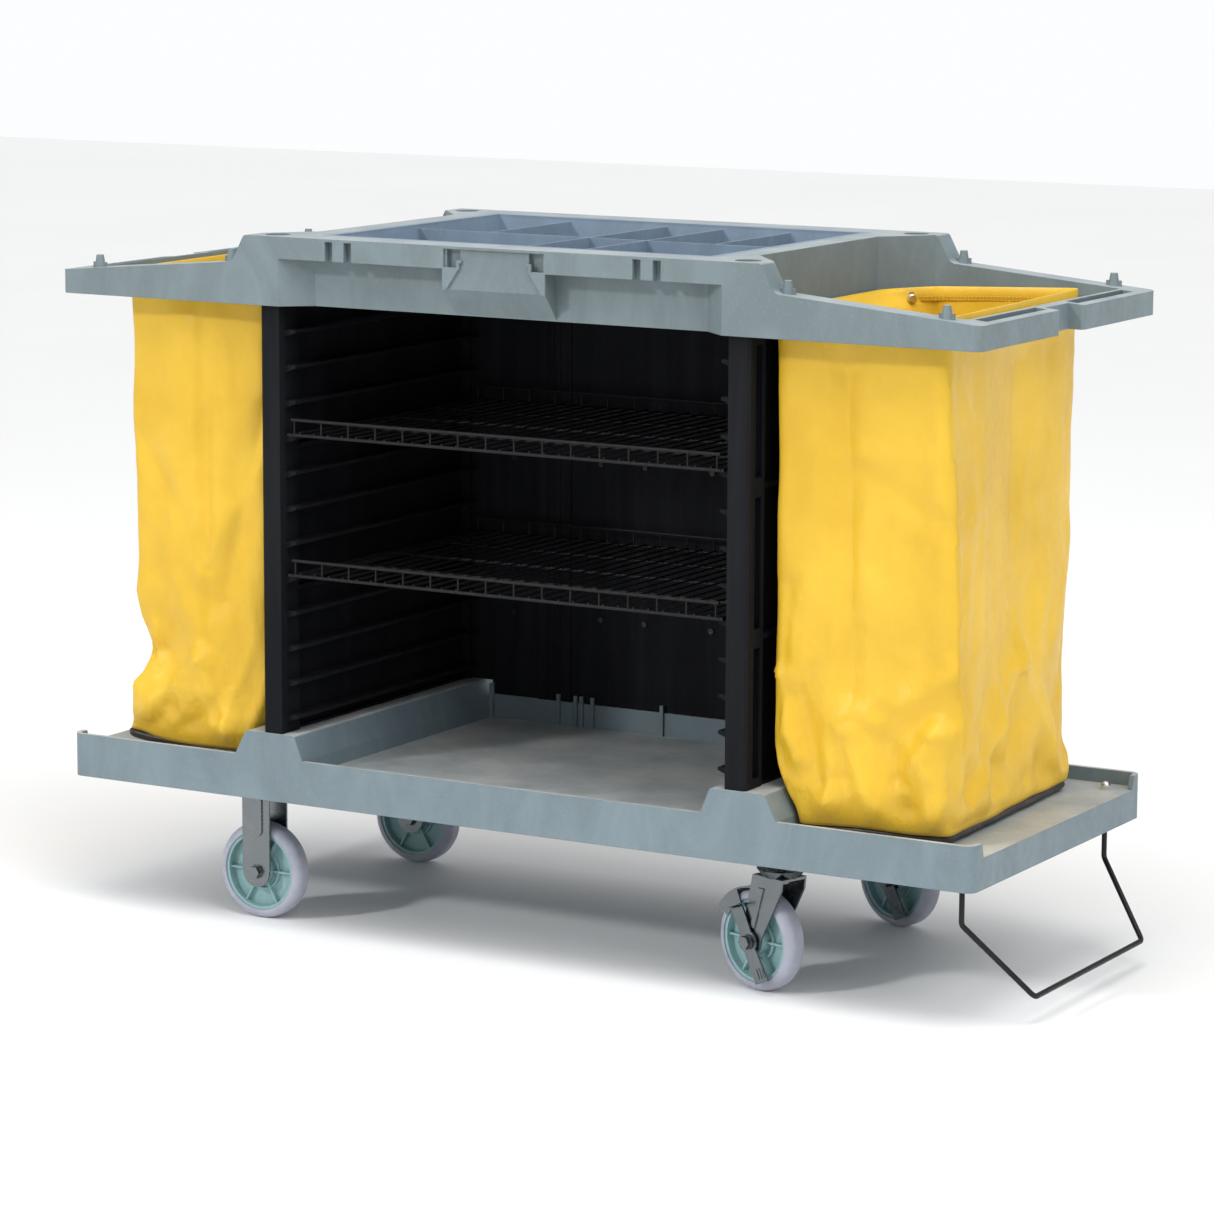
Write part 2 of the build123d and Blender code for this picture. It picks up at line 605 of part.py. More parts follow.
def make_core():
    """Moulded wheel centre with a dished web and radial ribs on both faces."""
    rim = Cylinder(CORE_R, 31) - Cylinder(CORE_R - 5, 32)
    web = Cylinder(CORE_R - 4, 6)
    hub = Cylinder(20, 38)
    core = rim + web + hub
    ribs = [Rot(0, 0, 60 * n) * Pos(38, 0, 0) * Box(42, 3, 22) for n in range(6)]
    core += ribs
    core += Cylinder(31, 16) - Cylinder(28, 17)
    return across(core - Cylinder(BUSH_R, 60))


def make_bush():
    ring = Cylinder(BUSH_R, 40) - Cylinder(AXLE_R + 0.06, 42)
    return across(ring)


def make_axle(front_seat, collar_r=0.0):
    """Axle bolt with its hex head to the front and its nut at the back."""
    back_seat = LEG_GAP + LEG_T
    shank = Pos(0, 0, (front_seat - back_seat) / 2) * Cylinder(AXLE_R, front_seat + back_seat + 16)
    washer = Cylinder(11.5, 1.5, align=STAND)
    head = Pos(0, 0, front_seat + 0.1) * (hexagon(18, 8.5) + washer)
    nut = Pos(0, 0, -back_seat - 9.1) * hexagon(18, 9)
    bolt = shank + head + nut
    if collar_r:
        bolt += Pos(0, 0, (back_seat + front_seat) / 2 + 0.1) * Cylinder(collar_r, front_seat - back_seat)
    return Pos(0, 0, AXLE_Z) * across(bolt)


def fixed_leg():
    half = 25.0
    face = Pos(0, AXLE_Z) * Circle(half - 1) + Pos(0, (AXLE_Z + BASE_BOTTOM) / 2) * Rectangle(
        2 * half, BASE_BOTTOM - AXLE_Z - 4)
    leg = extrude(Plane.XZ * face, amount=LEG_T)
    rib = extrude(Plane.XZ * (Pos(0, 164) * SlotOverall(68, 24, rotation=90)), amount=LEG_T + 2.5)
    rib = rib & block(-20, 20, -20, 20, 120, BASE_BOTTOM - PLATE_T - 3)
    return Pos(0, -LEG_GAP, 0) * (leg + rib)


def make_fixed_fork():
    leg = fixed_leg()
    fork = leg + mirror(leg, about=Plane.XZ)
    top = BASE_BOTTOM - PLATE_T
    fork += block(-25, 25, -LEG_GAP - LEG_T, LEG_GAP + LEG_T, top - 3, top)
    seat = upright_edges(block(-PLATE[0], PLATE[0], -PLATE[1], PLATE[1], top, BASE_BOTTOM), 8)
    fork += seat
    fork -= Pos(0, 0, AXLE_Z) * across(Cylinder(AXLE_R + 0.02, 80))
    return fork - plate_holes(0, 0, top - 1, BASE_BOTTOM + 1)


HEAD_TOP = BASE_BOTTOM - PLATE_T
SHOE_R = 78.0            # inner radius of the brake shoe about the wheel's axis
SHOE_PIN_R = 3.0
SHOE_PIVOT = (-28.0, 160.0)
COLLAR_R = 9.0           # collar that the brake lever turns on
LEVER_Y = LEG_GAP + LEG_T + 2.4
CROWN = 172.0            # underside of the swivel fork's crown
RACE_R = 30.0


def make_swivel_plate():
    """Top plate with the upper ball race and the kingpin, bolted under the deck."""
    seat = upright_edges(block(-PLATE[0], PLATE[0], -PLATE[1], PLATE[1], HEAD_TOP, BASE_BOTTOM), 8)
    race = Pos(0, 0, HEAD_TOP) * Cone(RACE_R, RACE_R + 8, 9, align=HANG)
    pin = rod_z(0, 0, 7.0, CROWN - 7, HEAD_TOP + 1)
    head = Pos(0, 0, CROWN - 7.2) * hexagon(20, 6.8)
    return (seat + race + pin + head) - plate_holes(0, 0, HEAD_TOP - 1, BASE_BOTTOM + 1)


def swivel_leg():
    """One leg: wide under the swivel head, round at the axle, with a pressed rib along its edge."""
    r = 19.0
    outline = Polyline((-SWIVEL_TRAIL - r, AXLE_Z), (-34, CROWN + 4), (26, CROWN + 4), (24, 158),
                       (-SWIVEL_TRAIL + r, AXLE_Z), close=True)
    face = make_face(outline) + Pos(-SWIVEL_TRAIL, AXLE_Z) * Circle(r)
    leg = extrude(Plane.XZ * face, amount=LEG_T)
    rib = make_face(Polyline((-SWIVEL_TRAIL + 2, AXLE_Z + 22), (-SWIVEL_TRAIL + 10, AXLE_Z + 22),
                             (-10, 158), (-22, 158), close=True))
    return Pos(0, -LEG_GAP, 0) * (leg + extrude(Plane.XZ * rib, amount=LEG_T + 2))


def make_swivel_fork():
    leg = swivel_leg()
    fork = leg + mirror(leg, about=Plane.XZ)
    fork += block(-34, 26, -LEG_GAP - LEG_T, LEG_GAP + LEG_T, CROWN, CROWN + 4)
    cup = Cone(RACE_R - 4, RACE_R + 6, 12, align=STAND)
    fork += Pos(0, 0, CROWN + 3) * cup
    fork -= Pos(0, 0, HEAD_TOP) * Cone(RACE_R + 0.4, RACE_R + 8.4, 9.4, align=HANG)
    fork -= rod_z(0, 0, 7.06, CROWN - 5, HEAD_TOP)
    fork += Pos(SHOE_PIVOT[0], 0, SHOE_PIVOT[1]) * across(Cylinder(SHOE_PIN_R, 2 * LEG_GAP + 1))
    return fork - Pos(-SWIVEL_TRAIL, 0, AXLE_Z) * across(Cylinder(AXLE_R + 0.02, 80))


def make_brake_shoe():
    """Shoe over the tread, on a cross pin under the crown, with a cheek on each side of the tyre."""
    def sector(r0, r1, a0, a1):
        ring = Circle(r1) - Circle(r0)
        reach = 2 * r1
        middle, half = radians((a0 + a1) / 2), radians((a1 - a0) / 2)
        wedge = make_face(Polyline((0, 0), (reach * cos(middle - half), reach * sin(middle - half)),
                                   (reach * cos(middle), reach * sin(middle)),
                                   (reach * cos(middle + half), reach * sin(middle + half)), close=True))
        return ring & wedge

    width = LEG_GAP - 0.8
    strip = Pos(0, width, 0) * extrude(Plane.XZ * sector(SHOE_R, SHOE_R + 2.5, 82, 150), amount=2 * width)
    shoe = Pos(-SWIVEL_TRAIL, 0, AXLE_Z) * strip
    cheek = Pos(0, width, 0) * extrude(Plane.XZ * sector(58, SHOE_R + 2.5, 114, 150), amount=2.2)
    cheek = Pos(-SWIVEL_TRAIL, 0, AXLE_Z) * cheek
    shoe += [cheek, mirror(cheek, about=Plane.XZ)]
    boss = Cylinder(6, 2 * width) - Cylinder(SHOE_PIN_R + 0.06, 3 * width)
    shoe += Pos(SHOE_PIVOT[0], 0, SHOE_PIVOT[1]) * across(boss)
    return shoe - Pos(SHOE_PIVOT[0], 0, SHOE_PIVOT[1]) * across(Cylinder(SHOE_PIN_R + 0.06, 60))


def make_brake_lever():
    """Rocker on the axle's collar: an upper pedal folded outwards and a ribbed lower pedal."""
    t = 3.0
    eye = Circle(17)
    up = make_face(Polyline((-13, 6), (11, 8), (-12, 52), (-34, 44), close=True))
    down = make_face(Polyline((-8, -12), (16, -8), (42, -50), (18, -60), close=True))
    face = (eye + up + down) - Circle(COLLAR_R + 0.06)
    arm = extrude(Plane.XZ * face, amount=t)
    pedal = Pos(-23, -14, 49) * Rot(0, -20, 0) * extrude(RectangleRounded(26, 28, 5), amount=t / 2, both=True)
    ribs = [Pos(22 + 5 * n, -t, -44 + 2.4 * n) * Rot(0, -25, 0) * Box(2.4, 2, 16) for n in range(3)]
    lever = arm + pedal + ribs
    return Pos(-SWIVEL_TRAIL, -LEVER_Y, AXLE_Z) * lever


def make_caster_bolts():
    """Hex-headed bolts that hold the four caster plates."""
    bolts = []
    for x, y in caster_seats():
        for dx, dy in corners(*PLATE_BOLT):
            head = Pos(x + dx, y + dy, HEAD_TOP - 5.5) * hexagon(13, 5.5)
            bolts.append(head + rod_z(x + dx, y + dy, 4.0, HEAD_TOP - 1, BASE_BOTTOM + 30))
    return bolts


# ---------------------------------------------------------------- bags
BAG_KNEE = 345.0
BAG_MID = 950.0
BAG_FRONT_Y, BAG_BACK_Y = -255.0, 243.0
FAR_RIGHT = (712.0, 690.0)        # far upright edges of the right bag, at the front and at the back
FAR_LEFT = (674.0, 700.0)         # the same for the left bag
FAR_FOOT = {FAR_RIGHT: (702.0, 684.0), FAR_LEFT: (698.0, 690.0)}
HOOK_Z = 970.0
ARM_HOOK_X = 655.0
CHAMFER_HOOK = ((BAY_WALL_X + BLOCK_X[1]) / 2, (BAY_WALL_Y + ARM_INNER_Y) / 2)
CHAMFER_TURN = degrees(atan2(BLOCK_X[1] - BAY_WALL_X, ARM_INNER_Y - BAY_WALL_Y))


BAG_PLANS = {                     # near wall x, its half width, shoulder x, shoulder y, by height
    "foot": (474.0, 200.0, 486.0, 228.0),
    "knee": (436.0, 205.0, 447.0, 248.0),
    "mid": (422.0, 205.0, 441.0, 251.0),
    "top": (386.0, 184.0, 441.0, 251.0),
}


def bag_section(plan, far, inset, z):
    """Six-sided plan of a bag at one height."""
    i = inset
    near, side_y, shoulder, shoulder_y = BAG_PLANS[plan]
    points = [(near + i, -side_y), (shoulder + i / 2, i - shoulder_y), (far[0] - i, BAG_FRONT_Y + i),
              (far[1] - i, BAG_BACK_Y - i), (shoulder + i / 2, shoulder_y - 8 - i), (near + i, side_y)]
    return (Plane.XY.offset(z) * make_face(Polyline(*points, close=True))).faces()[0]


def bag_body(far, inset, low_z, top_z):
    """Solid outline of a bag: out over the hump, up past the side panel, then in to the deck's end wall."""
    sections = [bag_section("foot", FAR_FOOT[far], inset, low_z), bag_section("knee", far, inset, BAG_KNEE),
                bag_section("mid", far, inset, BAG_MID), bag_section("top", far, inset, top_z)]
    return loft(sections[:2]) + loft(sections[1:3]) + loft(sections[2:])


def make_bag(far):
    """Open-topped bag of thin wall, with a hole at each grommet."""
    foot = BAG_FOOT + BAG_BAND + 0.1
    bag = bag_body(far, 0, foot, BAG_TOP) - bag_body(far, BAG_WALL, foot + BAG_WALL, BAG_TOP)
    return bag - [place * Cylinder(GROMMET_R + 0.2, 60) for place, _ in hook_places()]


def make_bag_base(far):
    section = bag_section("foot", FAR_FOOT[far], 0, BAG_FOOT)
    return extrude(section, amount=BAG_BAND)


GROMMET_R = 11.0


def hook_places():
    """Where the four hooks of the right bag stand, with +Z off the wall, and how far off the bag hangs."""
    chamfer_x, chamfer_y = CHAMFER_HOOK
    places = []
    for s in (-1, 1):
        chamfer_hook = Pos(chamfer_x, s * chamfer_y, HOOK_Z) * Rot(0, 0, -s * CHAMFER_TURN) * Rot(0, 90, 0)
        arm_hook = Pos(ARM_HOOK_X, s * ARM_INNER_Y, HOOK_Z) * Rot(s * 90, 0, 0)
        places += [(chamfer_hook, 13.4), (arm_hook, 7.0 if s < 0 else 17.8)]
    return places


def make_bag_hooks():
    """Round-headed hooks screwed to the deck's end walls and to the arms."""
    hooks = []
    for place, stand in hook_places():
        pin = Cylinder(3.5, stand + 8, align=STAND) + Cylinder(8, 2, align=STAND)
        head = Pos(0, 0, stand + 6) * Cylinder(7.5, 4, align=STAND)
        hooks.append(place * (pin + fillet(head.edges().group_by(Axis.Z)[-1], 2)))
    return mirrored(*hooks)


def make_grommets():
    rings = []
    for place, stand in hook_places():
        ring = Cylinder(GROMMET_R, 2.6) - Cylinder(GROMMET_R - 4.5, 3)
        rings.append(place * Pos(0, 0, stand + 1) * ring)
    return rings


def save_casters():
    low, high = -FIXED_CASTER[1], FIXED_CASTER[1]
    wheel = {"tyre": make_tyre(), "wheel_core": make_core(), "wheel_bush": make_bush()}
    fork, axle = make_fixed_fork(), make_axle(LEG_GAP + LEG_T)
    for name, y in (("front", low), ("back", high)):
        place = Pos(FIXED_CASTER[0], y, 0)
        save(f"fixed_fork_{name}", place * fork)
        save(f"fixed_axle_{name}", place * axle)
        for piece, solid in wheel.items():
            save(f"{piece}_left_{name}", place * Pos(0, 0, AXLE_Z) * solid)
    seat_plate, fork, axle = make_swivel_plate(), make_swivel_fork(), make_axle(LEVER_Y + 3.4, COLLAR_R)
    shoe, lever = make_brake_shoe(), make_brake_lever()
    for name, s in (("front", -1), ("back", 1)):
        seat = Pos(SWIVEL_CASTER[0], s * SWIVEL_CASTER[1], 0)
        turned = seat * Rot(0, 0, SWIVEL_TURN)
        save(f"swivel_plate_{name}", seat * seat_plate)
        save(f"swivel_fork_{name}", turned * fork)
        save(f"swivel_axle_{name}", turned * Pos(-SWIVEL_TRAIL, 0, 0) * axle)
        save(f"brake_shoe_{name}", turned * shoe)
        save(f"brake_lever_{name}", turned * lever)
        for piece, solid in wheel.items():
            save(f"{piece}_right_{name}", turned * Pos(-SWIVEL_TRAIL, 0, AXLE_Z) * solid)
    save("caster_bolts", *make_caster_bolts())


def save_cabinet():
    for level, name in enumerate(("lower", "middle", "upper")):
        panel = make_side_panel(level)
        save(f"side_panel_right_{name}", panel)
        save(f"side_panel_left_{name}", mirror(panel, about=Plane.YZ))
    edge = STRIP_X[1] - 9
    middle = STRIP_X[0] + 8.8
    save("back_panel_left", make_back_panel(-POST_X[0], -edge))
    save("back_panel_middle", make_back_panel(-middle, middle))
    save("back_panel_right", make_back_panel(edge, POST_X[0]))
    strip = make_back_strip()
    save("back_strip_right", strip)
    save("back_strip_left", mirror(strip, about=Plane.YZ))
    save("back_panel_screws", *make_panel_screws())
    save("tie_rods", *make_tie_rods())
    save("tie_rod_nuts", *make_tie_rod_nuts())
    for number, name in enumerate(("upper", "lower")):
        save(f"wire_shelf_{name}", make_shelf(number))


def save_bags():
    right, left = make_bag(FAR_RIGHT), make_bag(FAR_LEFT)
    rings = make_grommets()
    save("bag_right", right)
    save("bag_left", mirror(left, about=Plane.YZ))
    save("bag_base_right", make_bag_base(FAR_RIGHT))
    save("bag_base_left", mirror(make_bag_base(FAR_LEFT), about=Plane.YZ))
    save("bag_grommets_right", *rings)
    save("bag_grommets_left", *[mirror(r, about=Plane.YZ) for r in rings])
    save("bag_hooks", *make_bag_hooks())


def main():
    os.makedirs("parts", exist_ok=True)
    save("base_deck", make_base_deck())
    save("top_deck", make_top_deck())
    save("organiser_tray", make_organiser_tray())
    save("vacuum_rest", make_vacuum_rest())
    save("vacuum_rest_nuts", *make_rest_nuts())
    save_cabinet()
    save_casters()
    save_bags()


if __name__ == "__main__":
    main()
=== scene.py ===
import math

import bpy
from mathutils import Matrix, Vector, noise


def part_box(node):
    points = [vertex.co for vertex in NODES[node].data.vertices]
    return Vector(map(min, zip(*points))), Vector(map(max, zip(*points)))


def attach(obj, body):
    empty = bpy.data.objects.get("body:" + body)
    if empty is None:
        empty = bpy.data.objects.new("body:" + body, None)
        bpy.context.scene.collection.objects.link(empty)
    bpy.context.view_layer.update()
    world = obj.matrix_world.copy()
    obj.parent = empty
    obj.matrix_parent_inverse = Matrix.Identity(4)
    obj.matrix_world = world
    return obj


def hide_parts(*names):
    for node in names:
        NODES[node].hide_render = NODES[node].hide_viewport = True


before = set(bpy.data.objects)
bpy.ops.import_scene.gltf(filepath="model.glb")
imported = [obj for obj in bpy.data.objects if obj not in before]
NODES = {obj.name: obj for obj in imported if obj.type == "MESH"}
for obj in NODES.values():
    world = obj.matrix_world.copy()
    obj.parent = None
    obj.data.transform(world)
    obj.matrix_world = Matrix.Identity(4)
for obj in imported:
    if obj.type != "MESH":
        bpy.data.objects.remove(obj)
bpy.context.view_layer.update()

# Everything is in metres in the part's frame: the cart's middle on the floor, +X to the swivel casters,
# +Y to the closed back.

# ---- camera ----
VIEW_TARGET = Vector((-0.0102, 0.0, 0.4969))
VIEW_DISTANCE = 6.573
VIEW_AZIMUTH = math.radians(30.0)
VIEW_ELEVATION = math.radians(9.72)
VIEW_ROLL = math.radians(0.27)
SENSOR = 36.0
LENS = 128.26

# ---- bags ----
CLOTH_GRID = 0.012              # side of a cloth cell before it is subdivided
CLOTH_THICKNESS = 0.0008
HEM_HEIGHT = 0.022
HEM_STAND = 0.0009
STITCH_PITCH = 0.006
STITCH_LENGTH = 0.0042
STITCH_RADIUS = 0.00045
CLOTH_FRAMES = 34
SLACK_TALL = 1.055               # the cloth is cut this much taller than the gap it hangs in
SLACK_WIDE = 1.022               # its flat width over its girth, though the simulated cut widens only low
CUT_HEIGHT = 0.42                # the widening fades out over this height
CUT_RADIUS = 0.16                # radius of a bag that the widening is taken from
OUTWARD_CAP = 0.009              # farthest that settling moves a point out, in and sideways
INWARD_CAP = 0.026
SIDE_CAP = 0.014
CABINET_WALLS = (0, 4, 5)        # walls of a bag that face the cabinet, which stay flatter
CABINET_QUIET = 0.3              # how much of the ripples and creases they take
CABINET_LOOSE = 0.25             # how far they may settle outwards
CREASE_GAIN = 1.5
SEAM_MARGIN = 0.004              # creases start this far from the hem and the foot
HEM_FADE = 0.05
FOOT_FADE = 0.035


# ---------------------------------------------------------------- materials
class Surface:
    """A node material under construction."""

    def __init__(self, name, colour, roughness, metallic=0.0, **sockets):
        self.material = bpy.data.materials.new(name)
        self.material.use_nodes = True
        self.tree = self.material.node_tree
        self.shader = self.tree.nodes["Principled BSDF"]
        self.shader.inputs["Base Color"].default_value = (*colour, 1.0)
        self.shader.inputs["Roughness"].default_value = roughness
        self.shader.inputs["Metallic"].default_value = metallic
        for socket, value in sockets.items():
            self.shader.inputs[socket.replace("_", " ")].default_value = value
        self.place = self.node("ShaderNodeTexCoord").outputs["Object"]

    def node(self, kind, **inputs):
        made = self.tree.nodes.new(kind)
        for socket, value in inputs.items():
            target = made.inputs[socket]
            if isinstance(value, bpy.types.NodeSocket):
                self.tree.links.new(value, target)
            else:
                target.default_value = value
        return made

    def link(self, source, socket):
        self.tree.links.new(source, self.shader.inputs[socket])

    def stretched(self, scale):
        return self.node("ShaderNodeMapping", Vector=self.place, Scale=scale).outputs["Vector"]

    def noise(self, scale, detail=4.0, rough=0.55, stretch=None, warp=0.0):
        place = self.stretched(stretch) if stretch else self.place
        made = self.node("ShaderNodeTexNoise", Vector=place, Scale=scale, Detail=detail, Roughness=rough,
                         Distortion=warp)
        return made.outputs["Fac"]

    def ramp(self, value, low, high, out_low=0.0, out_high=1.0):
        made = self.node("ShaderNodeMapRange", Value=value)
        for number, amount in enumerate((low, high, out_low, out_high), start=1):
            made.inputs[number].default_value = amount
        return made.outputs["Result"]

    def times(self, value, factor):
        made = self.node("ShaderNodeMath")
        made.operation = "MULTIPLY"
        self.tree.links.new(value, made.inputs[0])
        if isinstance(factor, bpy.types.NodeSocket):
            self.tree.links.new(factor, made.inputs[1])
        else:
            made.inputs[1].default_value = factor
        return made.outputs["Value"]

    def mixed(self, fac, first, second, mode="MIX"):
        made = self.node("ShaderNodeMix")
        made.data_type = "RGBA"
        made.blend_type = mode
        for index, value in ((0, fac), (6, first), (7, second)):
            if isinstance(value, bpy.types.NodeSocket):
                self.tree.links.new(value, made.inputs[index])
            elif index:
                made.inputs[index].default_value = (*value, 1.0)
            else:
                made.inputs[index].default_value = value
        return made.outputs[2]

    def bump(self, height, distance, strength=1.0, under=None):
        made = self.node("ShaderNodeBump", Height=height, Strength=strength, Distance=distance)
        if under is not None:
            self.tree.links.new(under, made.inputs["Normal"])
        return made.outputs["Normal"]

    def soft_edges(self, radius):
        made = self.node("ShaderNodeBevel", Radius=radius)
        made.samples = 4
        return made.outputs["Normal"]

    def facing_up(self):
        """1 on surfaces that face up, 0 on the rest."""
        normal = self.node("ShaderNodeNewGeometry").outputs["Normal"]
        height = self.node("ShaderNodeSeparateXYZ", Vector=normal).outputs["Z"]
        return self.ramp(height, 0.6, 0.95)

    def finish(self, colour=None, roughness=None, normal=None):
        if colour is not None:
            self.link(colour, "Base Color")
        if roughness is not None:
            self.link(roughness, "Roughness")
        if normal is not None:
            self.link(normal, "Normal")
        return self.material


def shade(colour, factor):
    return tuple(min(1.0, c * factor) for c in colour)


def moulded(name, colour, dust_and_top_light, edge=0.0015, grain=900.0, roughness=(0.42, 0.6)):
    """Moulded plastic with flow marks, fine texture, scuffs, and a lighter colour on what faces up that is
    partly settled dirt and partly painted top light.
    """
    s = Surface(name, colour, roughness[0])
    flow = s.noise(7.0, 5.0, 0.62, stretch=(1.0, 1.0, 0.45), warp=2.2)
    speck = s.noise(240.0, 3.0)
    body = s.mixed(s.ramp(flow, 0.35, 0.68), shade(colour, 0.88), shade(colour, 1.1))
    body = s.mixed(s.ramp(speck, 0.55, 0.72, 0.0, 0.35), body, shade(colour, 1.3))
    scuff = s.ramp(s.noise(38.0, 6.0, 0.7, stretch=(1.0, 1.0, 3.0), warp=0.8), 0.6, 0.74, 0.0, 0.3)
    body = s.mixed(scuff, body, shade(colour, 1.35))
    # What faces up is painted lighter: partly settled dirt, partly painted top light.
    dust_and_top_light_mask = s.times(s.facing_up(), s.ramp(s.noise(11.0, 5.0, 0.6), 0.3, 0.7, 0.35, 0.9))
    body = s.mixed(dust_and_top_light_mask, body, dust_and_top_light)
    rough = s.ramp(s.noise(60.0, 4.0), 0.3, 0.7, *roughness)
    normal = s.bump(s.noise(grain, 2.0), 0.00025, 0.45, s.soft_edges(edge))
    normal = s.bump(flow, 0.004, 0.12, normal)
    return s.finish(body, rough, normal)


def black_panel(name):
    """Black moulded plastic with faint streaks and a satin face."""
    base = (0.009, 0.0095, 0.0115)
    s = Surface(name, base, 0.5, Specular_IOR_Level=0.05)
    streak = s.noise(30.0, 5.0, 0.6, stretch=(1.0, 1.0, 0.08))
    body = s.mixed(s.ramp(streak, 0.4, 0.7), base, (0.015, 0.0156, 0.018))
    body = s.mixed(s.ramp(s.noise(55.0, 7.0, 0.72), 0.63, 0.76, 0.0, 0.3), body, (0.022, 0.022, 0.023))
    rough = s.ramp(s.noise(24.0, 4.0), 0.3, 0.7, 0.42, 0.58)
    normal = s.bump(s.noise(700.0, 2.0), 0.0003, 0.5, s.soft_edges(0.0012))
    return s.finish(body, rough, normal)


def coated_wire(name, colour, roughness):
    """Wire with a thick dipped coating, with small runs in it."""
    s = Surface(name, colour, roughness, Specular_IOR_Level=0.25)
    body = s.mixed(s.ramp(s.noise(90.0, 4.0), 0.4, 0.7), colour, shade(colour, 1.9))
    rough = s.ramp(s.noise(140.0, 3.0), 0.3, 0.7, roughness - 0.08, roughness + 0.12)
    return s.finish(body, rough, s.bump(s.noise(260.0, 3.0), 0.0006, 0.4))


def plated(name, colour, roughness, mottle, grain):
    """Plated steel: mottled crystals, fine scratches and uneven shine."""
    s = Surface(name, colour, roughness, metallic=1.0)
    cloud = s.noise(mottle, 5.0, 0.65, warp=1.0)
    body = s.mixed(s.ramp(cloud, 0.35, 0.7), shade(colour, 0.92), shade(colour, 1.08))
    stain = s.ramp(s.noise(28.0, 6.0, 0.7), 0.62, 0.8, 0.0, 0.18)
    body = s.mixed(stain, body, (colour[0] * 0.62, colour[1] * 0.58, colour[2] * 0.5))
    scratch = s.noise(grain, 2.0, 0.5, stretch=(1.0, 1.0, 0.12))
    rough = s.ramp(cloud, 0.3, 0.7, roughness - 0.05, roughness + 0.08)
    normal = s.bump(scratch, 0.0002, 0.35, s.soft_edges(0.0006))
    return s.finish(body, rough, normal)


def tyre_rubber():
    """Pale thermoplastic tread with a faint sheen, scuffed and dirty where it rolls."""
    colour = (0.36, 0.375, 0.45)
    s = Surface("tyre_rubber", colour, 0.42, Sheen_Weight=0.15, Sheen_Roughness=0.4)
    body = s.mixed(s.ramp(s.noise(22.0, 5.0), 0.35, 0.7), shade(colour, 0.85), shade(colour, 1.12))
    marks = s.ramp(s.noise(130.0, 6.0, 0.75), 0.62, 0.75, 0.0, 0.5)
    body = s.mixed(marks, body, (0.2, 0.2, 0.22))
    rough = s.ramp(s.noise(75.0, 4.0), 0.3, 0.7, 0.32, 0.56)
    return s.finish(body, rough, s.bump(s.noise(420.0, 3.0), 0.0004, 0.4, s.soft_edges(0.002)))


def bag_cloth():
    """Yellow coated polyester: a fine grain under a glossy film, with small crumple marks."""
    colour = (0.72, 0.44, 0.025)
    s = Surface("bag_cloth", colour, 0.4, Specular_IOR_Level=0.38, Coat_Weight=0.05, Coat_Roughness=0.3,
                Subsurface_Weight=0.05, Subsurface_Radius=(0.01, 0.006, 0.002),
                Subsurface_Scale=0.02)
    body = s.mixed(s.ramp(s.noise(6.0, 5.0, 0.6), 0.35, 0.7), shade(colour, 0.92), (0.78, 0.495, 0.036))
    worn = s.ramp(s.noise(45.0, 6.0, 0.7, warp=1.5), 0.6, 0.75, 0.0, 0.4)
    body = s.mixed(worn, body, (0.82, 0.54, 0.09))
    rough = s.ramp(s.noise(70.0, 5.0), 0.3, 0.7, 0.34, 0.52)
    normal = s.bump(s.noise(900.0, 2.0), 0.0002, 0.35)
    height = s.node("ShaderNodeSeparateXYZ", Vector=s.place).outputs["Z"]
    low_down = s.ramp(height, 0.34, 0.66, 0.55, 0.14)
    normal = s.bump(s.noise(26.0, 6.0, 0.6, stretch=(1.0, 1.0, 0.6), warp=1.2), 0.006, low_down, normal)
    return s.finish(body, rough, normal)


def bag_vinyl():
    """Black vinyl-coated cloth of the bag's foot, creased and dirty."""
    s = Surface("bag_vinyl", (0.018, 0.013, 0.013), 0.45, Coat_Weight=0.15, Coat_Roughness=0.35)
    body = s.mixed(s.ramp(s.noise(33.0, 5.0), 0.4, 0.7), (0.012, 0.009, 0.009), (0.045, 0.032, 0.028))
    rough = s.ramp(s.noise(80.0, 4.0), 0.3, 0.7, 0.36, 0.6)
    normal = s.bump(s.noise(520.0, 3.0), 0.0004, 0.6)
    return s.finish(body, rough, s.bump(s.noise(45.0, 5.0, warp=1.2), 0.004, 0.35, normal))


def thread():
    s = Surface("sewing_thread", (0.8, 0.5, 0.07), 0.7, Sheen_Weight=0.3)
    body = s.mixed(s.ramp(s.noise(900.0), 0.3, 0.7), (0.68, 0.4, 0.05), (0.92, 0.62, 0.12))
    return s.finish(body, None, s.bump(s.noise(2500.0), 0.0002, 0.6))


def nylon():
    s = Surface("bush_nylon", (0.72, 0.71, 0.66), 0.38, Subsurface_Weight=0.1)
    body = s.mixed(s.ramp(s.noise(60.0), 0.35, 0.7), (0.66, 0.65, 0.6), (0.76, 0.75, 0.7))
    return s.finish(body, s.ramp(s.noise(120.0), 0.3, 0.7, 0.32, 0.5), s.bump(s.noise(700.0), 0.0002, 0.4))


